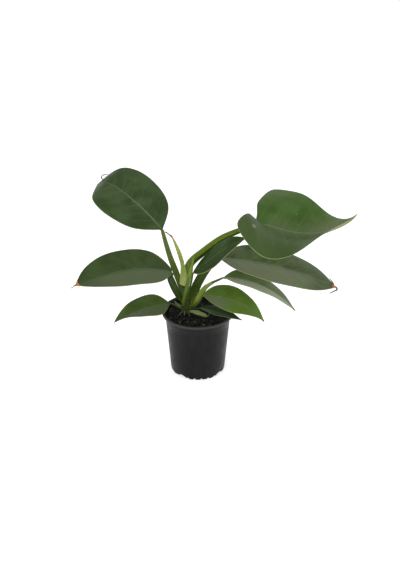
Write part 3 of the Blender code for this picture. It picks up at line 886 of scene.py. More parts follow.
def relief(leaf, s, v, out):
    """How far the upper face stands off its cage: a groove on the midrib, quilting, and a wavy margin."""
    side = np.abs(v)
    groove = -0.6 * (1 - s) ** 0.7 * np.exp(-((out / (2.0 * MM)) ** 2))
    quilt = leaf.get("quilt", 0.35) * (0.5 - 0.5 * np.cos(math.tau * vein_beat(leaf, s, side)))
    quilt = quilt * smoothstep(0, 0.2, side) * (1 - smoothstep(0.75, 1, side)) * (1 - s)
    turn = math.tau * (leaf.get("waves", 2.6) * s + np.where(v > 0, 0.15, 0.6))
    wave = leaf.get("wave", 0.6) * np.sin(turn) * side**3 * np.sin(math.pi * np.clip(s, 0, 1))
    return (groove + quilt + wave) * MM


print("side veins passed half way up a midrib:", vein_beat({}, 0.5, 0))


# %% The blade with its relief and thickness
RIB_THICKNESS = 3.0 * MM  # the midrib on the underside, at the blade's base
EDGE_SHARE = 0.17  # of that thickness, away from the rib


def make_blade(name, leaf, upper, under):
    piece = smooth_blade(name, leaf)
    bm = bmesh.new()
    bm.from_mesh(piece.data)
    along, across = bm.verts.layers.float["s"], bm.verts.layers.float["v"]
    s = np.array([point[along] for point in bm.verts])
    v = np.array([point[across] for point in bm.verts])
    half = half_width(leaf, s, v)
    out = np.abs(v) * half
    stand = relief(leaf, s, v, out)
    rib = np.exp(-((out / (1.3 * MM + 0.9 * MM * (1 - s))) ** 2)) * (1 - s) ** 0.8
    uv = bm.loops.layers.uv.new("blade")
    width = bm.verts.layers.float.new("half_width")
    weights = bm.verts.layers.deform.verify()
    normals = [point.normal.copy() for point in bm.verts]
    for index, point in enumerate(bm.verts):
        point.co += normals[index] * stand[index]
        point[width] = half[index] / MM
        point[weights][0] = EDGE_SHARE + (1 - EDGE_SHARE) * rib[index]
    for face in bm.faces:
        for loop in face.loops:
            loop[uv].uv = (loop.vert[along], loop.vert[across] / 2 + 0.5)
    bm.to_mesh(piece.data)
    bm.free()
    for finish in (upper, under):
        piece.data.materials.append(finish)
    piece.vertex_groups.new(name="rib")
    shell = piece.modifiers.new("thickness", "SOLIDIFY")
    shell.thickness = RIB_THICKNESS
    shell.offset = -1
    shell.vertex_group = "rib"
    shell.material_offset = 1
    return piece


print("mm thick at the rib and the edge:", RIB_THICKNESS / MM, round(EDGE_SHARE * RIB_THICKNESS / MM, 2))


# %% [markdown]
# ## Leaf finish
# Up close a blade has a pale midrib, fainter side veins, a thin cream margin, and green that shifts in
# broad clouds. Some tips are dry and brown, and old drops have left chalky specks. The pattern follows
# the blade, so it reads the blade's own UV map, s one way and v the other, and the half width that every
# point carries. With the two, a margin stays as thin on the widest leaf as on the smallest.


# %% Veins as a shared group
FINE_VEINS = 5  # thin parallel veins between one side vein and the next


def make_veins():
    """From the blade's own map: masks of midrib, side veins and margin, and s and v themselves."""
    inputs = {"Half Width": 40, "Laterals": 8, "Rib Width": 1.6, "Edge Width": 1.2}
    masks = ("Midrib", "Laterals", "Fine", "Margin", "Along", "Across")
    group, asked, result = new_group("leaf_veins", inputs, masks)
    blade = group.nodes.new("ShaderNodeUVMap")
    blade.uv_map = "blade"
    parts = group.nodes.new("ShaderNodeSeparateXYZ")
    group.links.new(blade.outputs[0], parts.inputs[0])
    along = parts.outputs[0]
    across = calc(group, "SUBTRACT", calc(group, "MULTIPLY", parts.outputs[1], 2), 1)
    side = calc(group, "ABSOLUTE", across)
    out = calc(group, "MULTIPLY", side, asked["Half Width"])
    taper = calc(group, "MULTIPLY", asked["Rib Width"], calc(group, "SUBTRACT", 1.15, along))
    group.links.new(step(group, calc(group, "DIVIDE", out, taper), 1.2, 0.35), result["Midrib"])
    inner = calc(group, "SUBTRACT", asked["Half Width"], out)
    margin = step(group, calc(group, "DIVIDE", inner, asked["Edge Width"]), 1.3, 0.6)
    group.links.new(margin, result["Margin"])
    bend = calc(group, "MULTIPLY", calc(group, "POWER", side, 2.5), SIDE_BEND)
    lean = calc(group, "ADD", calc(group, "MULTIPLY", side, SIDE_LEAN), bend)
    beat = calc(group, "MULTIPLY", calc(group, "SUBTRACT", along, lean), asked["Laterals"])
    nearest = calc(group, "FRACT", calc(group, "ADD", beat, 0.5))
    off = calc(group, "ABSOLUTE", calc(group, "SUBTRACT", nearest, 0.5))
    fade = calc(group, "SUBTRACT", 1, side)
    group.links.new(calc(group, "MULTIPLY", step(group, off, 0.16, 0.0), fade), result["Laterals"])
    fine_beat = calc(group, "FRACT", calc(group, "MULTIPLY", beat, FINE_VEINS))
    thin = calc(group, "ABSOLUTE", calc(group, "SUBTRACT", fine_beat, 0.5))
    group.links.new(step(group, thin, 0.2, 0.42), result["Fine"])
    group.links.new(along, result["Along"])
    group.links.new(across, result["Across"])
    return group


VEINS = make_veins()
print(VEINS.name, "ready")


# %% The waxy upper face
DRY = (0.33, 0.13, 0.045)
DRY_EDGE = (0.045, 0.022, 0.012)


def make_upper(name, look):
    """The waxy upper face. Look holds this leaf's own greens and marks."""
    finish, tree, shader = new_finish("leaf_" + name, 0.36, Specular_IOR_Level=look.get("gloss", 0.26))
    cloud = place_group(tree, MOTTLING, Size=look.get("clouds", 28), Grain_Size=1100)
    veins = place_group(
        tree, VEINS, Half_Width=attribute(tree, "half_width"), Laterals=look.get("laterals", 8.0),
        Rib_Width=look.get("rib_width", 1.6), Edge_Width=look.get("edge_width", 1.1),
    )
    green = blend(tree, cloud["Mask"], look["deep"], look["bright"])
    along, across = veins["Along"], veins["Across"]
    for mask, colour in look.get("tints", lambda *_: ())(tree, along, across):
        green = blend(tree, mask, green, colour)
    ribs = calc(tree, "MULTIPLY", veins["Laterals"], look.get("lateral", 0.16))
    green = blend(tree, ribs, green, look["rib"])
    thin = times(tree, veins["Fine"], cloud["Mask"], look.get("fine", 0.14))
    green = blend(tree, thin, green, look["rib"])
    green = blend(tree, calc(tree, "MULTIPLY", veins["Midrib"], look.get("midrib", 0.55)), green, look["rib"])
    near = step(tree, calc(tree, "MULTIPLY", across, look.get("near_side", -1)), -0.1, 0.1)
    pale = calc(tree, "ADD", times(tree, near, look.get("pale_edge", 0.6)), 0.06)
    edge = times(tree, veins["Margin"], pale)
    green = blend(tree, edge, green, (0.36, 0.40, 0.22))
    drops = place_group(tree, SPECKS, Cells=95, Share=look.get("specks", 0.03), Radius=0.1)["Mask"]
    green = blend(tree, calc(tree, "MULTIPLY", drops, 0.5), green, (0.35, 0.38, 0.30))
    ragged = calc(tree, "ADD", along, wander(tree, cloud["Grain"], 0.012))
    start = look.get("dry_from", 2.0)
    dry = step(tree, ragged, start, start + 0.008)
    rim = calc(tree, "MULTIPLY", step(tree, ragged, start - 0.014, start), calc(tree, "SUBTRACT", 1, dry))
    green = blend(tree, calc(tree, "MULTIPLY", rim, 0.45), green, DRY_EDGE)
    tree.links.new(blend(tree, dry, green, look.get("dry", DRY)), shader.inputs["Base Color"])
    rough = calc(tree, "ADD", calc(tree, "MULTIPLY", cloud["Mask"], 0.08), look.get("rough", 0.34))
    tree.links.new(calc(tree, "ADD", rough, calc(tree, "MULTIPLY", dry, 0.4)), shader.inputs["Roughness"])
    sunk = calc(tree, "ADD", times(tree, veins["Laterals"], -0.8), times(tree, veins["Fine"], -0.25))
    height = calc(tree, "ADD", sunk, times(tree, cloud["Grain"], 0.5))
    tree.links.new(bump(tree, height, 0.0003), shader.inputs["Normal"])
    return finish


print("dried leaf is", DRY, "and its edge", DRY_EDGE)


# %% The underside
def make_under(name, colour, rib, dry_from=2.0):
    """The underside: paler, matt, with the midrib standing out."""
    finish, tree, shader = new_finish("underside_" + name, 0.62, Specular_IOR_Level=0.35)
    cloud = place_group(tree, MOTTLING, Size=40, Grain_Size=900)
    veins = place_group(tree, VEINS, Half_Width=attribute(tree, "half_width"), Rib_Width=2.2)
    pale = blend(tree, cloud["Mask"], colour, [part * 1.25 for part in colour])
    pale = blend(tree, calc(tree, "MULTIPLY", veins["Laterals"], 0.3), pale, rib)
    pale = blend(tree, calc(tree, "MULTIPLY", veins["Midrib"], 0.8), pale, rib)
    dry = step(tree, veins["Along"], dry_from, dry_from + 0.01)
    tree.links.new(blend(tree, dry, pale, DRY), shader.inputs["Base Color"])
    height = calc(tree, "ADD", veins["Laterals"], calc(tree, "MULTIPLY", cloud["Grain"], 0.6))
    tree.links.new(bump(tree, height, 0.0004), shader.inputs["Normal"])
    return finish


print("underside finish ready:", make_under.__name__)


# %% Tints that only some leaves have
SCAR = (0.24, 0.11, 0.04)


def half_light_and_scar(strength, side, colour, fade=(1.1, 0.6), scarred=0):
    """Painted light over one half, fading to the tip: a grey sheen with a pale colour, shade with a deeper
    green. Also a scar on the other margin if asked.
    """

    def tints(tree, along, across):
        half = step(tree, times(tree, across, side), -0.02, 0.16)
        scar = times(tree, step(tree, times(tree, across, -side), 0.86, 0.94), step(tree, along, 0.17, 0.14))
        worn = times(tree, scar, step(tree, along, 0.08, 0.11))
        # painted sheen with a pale colour, painted shade with a dark one, over one half of the blade
        painted_light = times(tree, half, step(tree, along, *fade), strength)
        return [(painted_light, colour), (times(tree, worn, scarred), SCAR)]

    return tints


def lit_tip(colour, strength):
    """Greyer at the near base, and yellower over the near half towards the tip, where light comes through."""

    def tints(tree, along, across):
        base = times(tree, step(tree, across, 0.05, -0.15), step(tree, along, 0.6, 0.15), 0.9)
        lit = times(tree, step(tree, across, -0.05, -0.45), step(tree, along, 0.25, 0.6), strength)
        return [(base, (0.140, 0.175, 0.080)), (lit, colour)]

    return tints


def heart_tints(tree, along, across):
    """The heart-shaped leaf: a pale knot on its near lobe, a painted sheen along its midrib that also
    lightens the fold's shade, and a painted grey sheen along the hollow of its tip.
    """
    side = calc(tree, "ABSOLUTE", across)
    near = times(tree, step(tree, across, 0.1, -0.3), 0.7)
    lobe = times(tree, step(tree, across, 0.0, -0.3), step(tree, along, 0.30, 0.05), 0.2)
    # painted sheen along the midrib, lightening the shade of the fold
    midrib_sheen = times(tree, step(tree, side, 0.4, 0.0), step(tree, along, 0.02, 0.2), 0.5)
    # painted grey sheen over the tip's hollow, palest at the very tip
    painted_light = times(tree, step(tree, along, 0.38, 0.75), step(tree, across, 0.7, 0.0), 0.85)
    tip_sheen = times(tree, step(tree, along, 0.6, 0.9), 0.75)
    knot_side = times(tree, step(tree, across, -0.53, -0.58), step(tree, across, -0.65, -0.60))
    knot = times(tree, step(tree, along, 0.095, 0.083), step(tree, along, 0.062, 0.074), knot_side, 0.6)
    return [
        (near, (0.042, 0.076, 0.017)), (lobe, (0.100, 0.140, 0.055)), (midrib_sheen, (0.110, 0.150, 0.060)),
        (painted_light, (0.170, 0.195, 0.115)), (tip_sheen, (0.250, 0.275, 0.180)), (knot, (0.32, 0.36, 0.20)),
    ]


print("tints:", [tint.__name__ for tint in (half_light_and_scar, lit_tip, heart_tints)])


# %% Each leaf's own look
UNDER_GREEN = (0.105, 0.150, 0.040)
DEEP, BRIGHT, RIB = (0.028, 0.057, 0.012), (0.047, 0.087, 0.022), (0.130, 0.170, 0.090)
# The tints over one half paint a grey sheen on the middle left, lower left, long right and lower right
# blades, and shade on the near half of the inner right one.
LOOKS = {
    "upper_left": dict(
        deep=DEEP, bright=BRIGHT, rib=RIB, midrib=0.75, lateral=0.18, specks=0.08, rib_width=2.2,
        near_side=1,
    ),
    "middle_left": dict(
        deep=(0.024, 0.050, 0.007), bright=(0.038, 0.072, 0.012), rib=RIB, midrib=0.35, lateral=0.08,
        specks=0.05, dry_from=0.955, tints=half_light_and_scar(0.85, 1, (0.088, 0.118, 0.048), scarred=0.9),
        dry=(0.50, 0.21, 0.08), pale_edge=0.3, near_side=1,
    ),
    "lower_left": dict(
        deep=(0.048, 0.086, 0.012), bright=(0.070, 0.120, 0.019), rib=RIB, midrib=0.3, lateral=0.08,
        specks=0.05, tints=half_light_and_scar(0.6, 1, (0.090, 0.120, 0.050)), near_side=1,
    ),
    "upper_right": dict(
        deep=(0.050, 0.106, 0.015), bright=(0.073, 0.147, 0.028), rib=(0.20, 0.26, 0.13), midrib=0.7,
        lateral=0.13, specks=0.06, fine=0.05, gloss=0.14, clouds=22, under=(0.165, 0.18, 0.070),
        rib_width=2.0, tints=heart_tints, pale_edge=0.6,
    ),
    "long_right": dict(
        deep=(0.057, 0.094, 0.028), bright=(0.092, 0.140, 0.048), rib=(0.24, 0.28, 0.17), midrib=0.5,
        lateral=0.12, dry_from=0.962, tints=half_light_and_scar(0.9, -1, (0.175, 0.205, 0.120), (0.92, 0.5)),
        dry=(0.50, 0.25, 0.12), fine=0.2,
    ),
    "inner_right": dict(
        deep=(0.020, 0.048, 0.004), bright=(0.036, 0.078, 0.008), rib=(0.10, 0.15, 0.05), midrib=0.4,
        lateral=0.12, gloss=0.06, tints=half_light_and_scar(0.7, -1, (0.012, 0.030, 0.003)),
    ),
    "lower_right": dict(
        deep=(0.095, 0.150, 0.038), bright=(0.135, 0.200, 0.062), rib=(0.38, 0.42, 0.27), midrib=0.7,
        lateral=0.1, tints=half_light_and_scar(0.9, -1, (0.380, 0.420, 0.270)), dry_from=0.94,
        dry=(0.03, 0.03, 0.012),
    ),
    "front_right": dict(
        deep=(0.080, 0.155, 0.014), bright=(0.112, 0.200, 0.026), rib=(0.19, 0.25, 0.10), midrib=0.5,
        lateral=0.14, tints=lit_tip((0.095, 0.172, 0.009), 1.0), dry_from=0.965, dry=(0.03, 0.035, 0.01),
        pale_edge=0.35,
    ),
    "over_rim": dict(
        deep=(0.020, 0.046, 0.004), bright=(0.032, 0.068, 0.007), rib=RIB, midrib=0.25, lateral=0.06,
        pale_edge=0.3, gloss=0.05,
    ),
    "youngest": dict(
        deep=(0.190, 0.260, 0.080), bright=(0.270, 0.350, 0.120), rib=(0.36, 0.41, 0.20), midrib=0.3,
        lateral=0.05, specks=0.0, edge_width=0.5, rib_width=0.6,
    ),
}


print("leaves with a dried tip:", [name for name, look in LOOKS.items() if "dry_from" in look])


# %% Make the ten leaves
def make_leaf(name):
    look = LOOKS[name]
    look.setdefault("laterals", LEAVES[name].get("laterals", 8))
    under = make_under(name, look.get("under", UNDER_GREEN), (0.16, 0.21, 0.055), look.get("dry_from", 2.0))
    piece = make_blade(name, LEAVES[name], make_upper(name, look), under)
    return hand_over(piece, "leaf_" + name)


for name in LEAVES:
    make_leaf(name)
print("blade faces before thickness:", faces_of("blade_"))

# %% [markdown]
# ## Petioles
# Each blade stands on a petiole, which is round underneath, flattened or channelled on top, and wider
# where it clasps the stem. A cylinder with many rings has its points moved onto a smooth curve through
# the same stations as the imported solid. The section is a circle with its top pressed in. Two numbers are
# kept at each point, how far down the petiole it is and how near the top of the section. The finish uses
# them for the painted shade on the underside, the line in the channel and the paler foot.

# %% Petiole routes
# A petiole runs from its blade's seat to the crown: (x, y, z, radius) in millimetres, after the seat's
# own radius.
PETIOLES = {
    "upper_left": (3.2, [(-61.5, 44, 250.6, 4.2), (-52.5, 37, 221.8, 5.2), (-42.3, 30.3, 195, 5.9),
                         (-33.3, 23.3, 170, 5.8), (-26.5, 17.2, 150, 5.2), (-22, 12.5, 141, 4)]),
    "middle_left": (3.4, [(-52, -10, 205, 6.4), (-45, -6, 183, 7.4), (-37.5, 0.8, 162, 6.8),
                          (-31.2, 8, 147, 5), (-22, 11.5, 137, 4)]),
    "lower_left": (1.5, [(-46.2, 2, 139.5, 1.7), (-36.4, -4, 137.3, 1.9), (-29, -3, 133, 2),
                         (-22, 10, 127, 2)]),
    "upper_right": (3.8, [(91.5, 29, 288.5, 4.9), (72.6, 27, 283, 5.9), (42.3, 23, 269, 6.9),
                          (11.9, 19, 246, 7.7), (-12.5, 15, 225, 8.1), (-20.7, 12.7, 204, 7.7),
                          (-23.7, 12.4, 173.5, 7)]),
    "long_right": (3.6, [(25, 29, 211.5, 5.6), (10, 28, 192, 7.6), (-1.5, 25, 171, 7.8), (-9, 20, 153, 7),
                         (-14.5, 16, 139, 5.4), (-22, 12.5, 128, 4)]),
    "inner_right": (1.8, [(-11.9, -8, 197.1, 2.1), (-16.5, -3, 174, 2.3), (-19.5, 1.5, 156, 2.4),
                          (-21, 10, 145, 2.4)]),
    "lower_right": (1.9, [(38.7, 3, 192.3, 2.4), (28.5, 6.5, 185.6, 2.6), (17.6, 7, 178.6, 2.6),
                          (8.6, 3, 168.3, 2.7), (0, -1, 152, 2.8), (-9, 4, 138, 2.8),
                          (-21, 11, 131, 2.5)]),
    "front_right": (1.8, [(4.3, -14, 157, 2), (-3.4, -11.5, 145, 2.2), (-9, -2, 135, 2.3),
                          (-14, 5, 129, 2.3), (-21, 11, 125, 2.3)]),
    "over_rim": (1.2, [(0, -7, 135.8, 1.3), (-6.5, -1.5, 131.5, 1.4), (-12, 3, 125, 1.4),
                       (-20, 10, 121.5, 1.4)]),
    "youngest": (0.9, [(-17, -1, 127, 1.2), (-20.5, 9, 122, 1.3)]),
}
# How deep the channel on top is, as a share of the radius, and how much wider than deep the section is.
CHANNELS = {
    "upper_left": (0.45, 1.05), "middle_left": (0.5, 1.2), "lower_left": (0.2, 1.0),
    "upper_right": (0.1, 1.0), "long_right": (0.6, 1.22), "inner_right": (0.3, 1.0),
    "lower_right": (0.35, 1.0), "front_right": (0.3, 1.0), "over_rim": (0.2, 1.0), "youngest": (0.1, 1.0),
}
print("petioles:", len(PETIOLES))


# %% A smooth curve through stations
def smooth_route(stations, count):
    """Even points on a Catmull-Rom curve through the stations, with further columns such as radius."""
    stations = np.array(stations, float)
    padded = np.concatenate([[2 * stations[0] - stations[1]], stations, [2 * stations[-1] - stations[-2]]])
    pieces = []
    for i in range(1, len(padded) - 2):
        before, start, end, after = padded[i - 1 : i + 3]
        t = np.linspace(0, 1, 24, endpoint=False)[:, None]
        pieces.append(
            0.5 * (2 * start + (end - before) * t + (2 * before - 5 * start + 4 * end - after) * t**2
                   + (3 * start - before - 3 * end + after) * t**3)
        )
    curve = np.concatenate([*pieces, stations[-1:]])
    run = np.concatenate([[0], np.cumsum(np.linalg.norm(np.diff(curve[:, :3], axis=0), axis=1))])
    where = np.linspace(0, run[-1], count)
    return np.stack([np.interp(where, run, curve[:, i]) for i in range(curve.shape[1])], -1)


def frames_along(route, facing):
    """Along, side and up at each point, with up as near to facing as the curve allows."""
    along = np.gradient(route[:, :3], axis=0)
    along /= np.linalg.norm(along, axis=1, keepdims=True)
    facing = np.broadcast_to(np.array(facing, float), along.shape)
    up = facing - along * np.sum(along * facing, 1, keepdims=True)
    up /= np.linalg.norm(up, axis=1, keepdims=True)
    return along, np.cross(along, up), up


bend = smooth_route([(0, 0, 0), (0, 0, 10), (0, 5, 20)], 5)
print("heights along a short curve:", bend[:, 2].round(1))


# %% A closed tube with many rings
def tube(name, route, facing, finish, sides=28, rings=90, channel=0.0, wide=1.0, rough=0.0, ends=(1, 1)):
    """A closed tube round a route of (x, y, z, radius) in metres. An end marked 1 is rounded off."""
    bm = bmesh.new()
    bmesh.ops.create_cone(bm, cap_ends=True, segments=sides, radius1=1, radius2=1, depth=1)
    uprights = [edge for edge in bm.edges if abs(edge.verts[0].co.z - edge.verts[1].co.z) > 0.5]
    bmesh.ops.subdivide_edges(bm, edges=uprights, cuts=rings - 2, use_grid_fill=True)
    path = smooth_route(route, rings)
    _, side, up = frames_along(path, facing)
    step_length = np.linalg.norm(path[1, :3] - path[0, :3])
    shares = bm.verts.layers.float.new("along")
    tops = bm.verts.layers.float.new("topness")
    for point in bm.verts:
        ring = min(rings - 1, max(0, round((point.co.z + 0.5) * (rings - 1))))
        turn = math.atan2(point.co.y, point.co.x)
        radius = path[ring, 3]
        for from_end, rounds in ((ring, ends[0]), (rings - 1 - ring, ends[1])):
            reach = from_end * step_length / max(radius, 1e-6)
            if rounds and reach < 1:
                radius *= math.sqrt(max(0.12, 1 - (1 - reach) ** 2))
        top = math.sin(turn)
        pressed = 1 - channel * max(0, top) ** 3
        ripple = 1 + rough * noise.noise(Vector((3 * math.cos(turn), 3 * math.sin(turn), ring * 0.25)))
        outward = side[ring] * math.cos(turn) * wide + up[ring] * top * pressed
        point.co = path[ring, :3] + radius * ripple * outward
        point[shares] = ring / (rings - 1)
        point[tops] = top
    bmesh.ops.recalc_face_normals(bm, faces=bm.faces[:])
    return add_object(name, mesh_of(bm, name), finish)


print("a tube has", tube.__defaults__[1], "rings of", tube.__defaults__[0], "sides unless told otherwise")


# %% Petiole finish
def make_petiole_finish(name, top, shaded_beneath, turn=(-0.45, 0.55), lined=0.0, paler=0.45):
    """One green on top, a darker one beneath as painted shade, lengthwise fibres, and a dark line in the
    channel if asked.
    """
    finish, tree, shader = new_finish("petiole_" + name, 0.4, Specular_IOR_Level=0.16)
    topness, along = attribute(tree, "topness"), attribute(tree, "along")
    cloud = place_group(tree, MOTTLING, Size=70, Grain_Size=1500)
    fibres = clouds(tree, object_place(tree, (1, 1, 0.15)), 650, 2.0)
    ragged = calc(tree, "ADD", topness, wander(tree, cloud["Mask"], 0.2))
    # painted shade: the underside is darker than the top
    green = blend(tree, step(tree, ragged, *turn), shaded_beneath, top)
    dark_fibres = calc(tree, "MULTIPLY", step(tree, fibres, 0.45, 0.7), 0.35)
    green = blend(tree, dark_fibres, green, (0.06, 0.09, 0.010))
    line = times(tree, step(tree, topness, 0.28, 0.36), step(tree, topness, 0.60, 0.48), lined)
    green = blend(tree, line, green, [part * 0.35 for part in shaded_beneath])
    foot = times(tree, step(tree, along, 0.62, 0.9), paler)
    tree.links.new(blend(tree, foot, green, (0.15, 0.21, 0.035)), shader.inputs["Base Color"])
    height = calc(tree, "ADD", fibres, calc(tree, "MULTIPLY", cloud["Grain"], 0.4))
    tree.links.new(bump(tree, height, 0.00025), shader.inputs["Normal"])
    return finish


print("petiole finish ready:", make_petiole_finish.__name__)


# %% Each petiole's own look
# The colour on top, the darker colour beneath that paints the underside's shade, the part of the section over
# which one turns into the other, how strong the dark line in the channel is, and how pale the foot.
PETIOLE_LOOKS = {
    "upper_left": ((0.100, 0.150, 0.030), (0.070, 0.062, 0.016), (-0.7, -0.2), 0.9),
    "middle_left": ((0.030, 0.058, 0.006), (0.014, 0.028, 0.004)),
    "lower_left": ((0.065, 0.085, 0.032), (0.035, 0.050, 0.016)),
    "upper_right": ((0.105, 0.160, 0.010), (0.014, 0.034, 0.003), (0.0, 0.35), 0.0, 0.85),
    "long_right": ((0.046, 0.085, 0.010), (0.030, 0.056, 0.007)),
    "inner_right": ((0.080, 0.105, 0.020), (0.040, 0.060, 0.010)),
    "lower_right": ((0.085, 0.130, 0.020), (0.040, 0.070, 0.010)),
    "front_right": ((0.070, 0.110, 0.015), (0.030, 0.050, 0.008)),
    "over_rim": ((0.045, 0.075, 0.014), (0.025, 0.045, 0.009)),
    "youngest": ((0.130, 0.180, 0.045), (0.070, 0.100, 0.024)),
}


print("petiole looks:", len(PETIOLE_LOOKS))


# %% Make the petioles
def seat_of(leaf, clear):
    """Where a petiole ends, just short of its blade."""
    along, _, up = leaf_frame(leaf, np.zeros(1))
    return np.array(leaf["seat"]) * MM - along[0] * clear - up[0] * leaf.get("seat_drop", 0) * MM


def make_petiole(name):
    leaf = LEAVES[name]
    seat_radius, stations = PETIOLES[name]
    route = [(*seat_of(leaf, 0.4 * MM), seat_radius * MM)]
    route += [tuple(value * MM for value in station) for station in stations]
    channel, wide = CHANNELS[name]
    _, _, up = leaf_frame(leaf, np.zeros(1))
    facing = up[0] if name != "upper_right" else np.array((0, 0, 1))
    finish = make_petiole_finish(name, *PETIOLE_LOOKS[name])
    piece = tube("stalk_" + name, route, facing, finish, channel=channel, wide=wide, rough=0.03)
    return hand_over(piece, "petiole_" + name)


for name in PETIOLES:
    make_petiole(name)
print("stalk faces:", faces_of("stalk_"))

# %% [markdown]
# ## Sheaths
# A new leaf comes out of a sheath that wraps its petiole. Once it is out, the sheath stays as a thin
# pointed wrap and dries from its tip. Each is a grid bent round an axis, with an arc radius and a half
# angle at each station, so it can start as most of a tube and end as a narrow, nearly flat point. Its
# long edges get small tears.

# %% Sheath stations
# Stations are (x, y, z, arc radius, half angle in degrees), base to tip, after the direction that the
# back faces.
SHEATHS = {
    "dried_sheath": ((-0.7, -0.8, 0), [(-25, 12, 180, 9.9, 115), (-24.5, 12, 192, 9.7, 100),
                       (-23.8, 11, 206, 9.3, 64), (-26, 8.5, 224, 7, 56), (-30.5, 6, 243, 6.8, 58),
                       (-36.5, 5, 260, 5.4, 58), (-43.5, 4.5, 276, 3.4, 60), (-48, 4, 283.5, 1.9, 60)]),
    "pointed_sheath": ((-0.3, -1, 0), [(-28, 4, 136, 3.2, 75), (-27, -1, 150, 3.5, 70),
                       (-23, -6.5, 172, 3.7, 70), (-18, -9.5, 195, 3.9, 75), (-13.5, -12, 217, 3.8, 75),
                       (-9.5, -14.5, 236, 2.3, 60), (-7, -17, 256, 0.9, 50)]),
    "lower_right_sheath": ((0.2, -0.7, -0.5), [(-6, 2.5, 140, 5.2, 125), (0, -1, 152, 6, 115),
                       (8.3, 3, 168, 5.6, 110), (17.6, 7, 178.6, 4.9, 95), (28, 6.7, 186.3, 4.2, 60)]),
    "lower_left_scrap": ((-0.2, -0.6, 0.8), [(-32.5, -4, 138.5, 2.4, 60), (-38.5, -2.5, 142, 2.4, 60),
                       (-45.5, 1.5, 146.5, 1, 50)]),
}


print("sheaths:", list(SHEATHS))


# %% A sheath from a bent grid
def sheath_points(facing, stations, s, v):
    """Points of a shell that wraps its axis: s runs from base to tip, v from one edge to the other."""
    stations = np.array(stations, float)
    where = np.linspace(0, 1, len(stations))
    axis = np.stack([np.interp(s, where, stations[:, i]) for i in range(3)], -1) * MM
    radius = np.interp(s, where, stations[:, 3]) * MM
    angle = np.radians(np.interp(s, where, stations[:, 4])) * v
    slopes = np.gradient(stations[:, :3], axis=0)
    along = np.stack([np.interp(s, where, slopes[:, i]) for i in range(3)], -1)
    along /= np.linalg.norm(along, axis=-1, keepdims=True)
    back = np.array(facing, float) - along * (along @ np.array(facing, float))[:, None]
    back /= np.linalg.norm(back, axis=-1, keepdims=True)
    side = np.cross(back, along)
    return axis + (back * np.cos(angle)[:, None] + side * np.sin(angle)[:, None]) * radius[:, None]


def make_sheath(name, finish, inside, columns=72, rows=28, tear=1.0):
    facing, stations = SHEATHS[name]
    fine = smooth_route(stations, 60)
    bm = bmesh.new()
    bmesh.ops.create_grid(bm, x_segments=columns, y_segments=rows, size=1)
    flat = np.array([point.co[:2] for point in bm.verts])
    s, v = (flat[:, 0] + 1) / 2, flat[:, 1]
    along_edges = [Vector((20 * share, math.copysign(4, edge), 1.7)) for share, edge in zip(s, v)]
    jag = np.array([noise.fractal(place, 1.0, 2.0, 3) for place in along_edges])
    points = sheath_points(facing, fine, s, v * (1 + 0.09 * tear * jag * np.abs(v) ** 4))
    uv = bm.loops.layers.uv.new("blade")
    for index, point in enumerate(bm.verts):
        point.co = points[index]
    for face in bm.faces:
        for loop in face.loops:
            loop[uv].uv = (s[loop.vert.index], v[loop.vert.index] / 2 + 0.5)
    piece = add_object("wrap_" + name, mesh_of(bm, "wrap_" + name), finish, inside)
    shell = piece.modifiers.new("thickness", "SOLIDIFY")
    shell.thickness = 0.45 * MM
    shell.offset = 0
    shell.material_offset = 1
    return hand_over(piece, name)


print("the tall sheath ends", SHEATHS["dried_sheath"][1][-1][2], "mm up")


# %% Sheath finish
def make_sheath_finish(name, base, body, tip, dry_from, fibre=0.35, dry=DRY):
    """A papery skin: pale at its base, green along its body, brown where dried, with lengthwise fibres."""
    finish, tree, shader = new_finish("sheath_" + name, 0.5, Specular_IOR_Level=0.2)
    skin = tree.nodes.new("ShaderNodeUVMap")
    skin.uv_map = "blade"
    parts = tree.nodes.new("ShaderNodeSeparateXYZ")
    tree.links.new(skin.outputs[0], parts.inputs[0])
    along, across = parts.outputs[0], parts.outputs[1]
    cloud = place_group(tree, MOTTLING, Size=90, Grain_Size=1600)
    lines = tree.nodes.new("ShaderNodeCombineXYZ")
    tree.links.new(calc(tree, "MULTIPLY", across, 14), lines.inputs[1])
    tree.links.new(calc(tree, "MULTIPLY", along, 2), lines.inputs[0])
    fibres = clouds(tree, lines.outputs[0], 3.0, 3.0)
    ragged = calc(tree, "ADD", along, wander(tree, cloud["Mask"], 0.12))
    green = blend(tree, step(tree, ragged, 0.02, 0.32), base, body)
    green = blend(tree, step(tree, ragged, 0.45, 0.9), green, tip)
    dark_fibres = calc(tree, "MULTIPLY", step(tree, fibres, 0.42, 0.66), fibre)
    green = blend(tree, dark_fibres, green, [part * 0.55 for part in body])
    margin = step(tree, calc(tree, "ABSOLUTE", calc(tree, "SUBTRACT", across, 0.5)), 0.44, 0.5)
    green = blend(tree, calc(tree, "MULTIPLY", margin, 0.6), green, (0.42, 0.42, 0.24))
    dried_on = blend(tree, step(tree, along, dry_from, dry_from + 0.03), green, dry)
    tree.links.new(dried_on, shader.inputs["Base Color"])
    tree.links.new(bump(tree, calc(tree, "ADD", fibres, cloud["Grain"]), 0.0003), shader.inputs["Normal"])
    return finish


print("sheath finish ready:", make_sheath_finish.__name__)


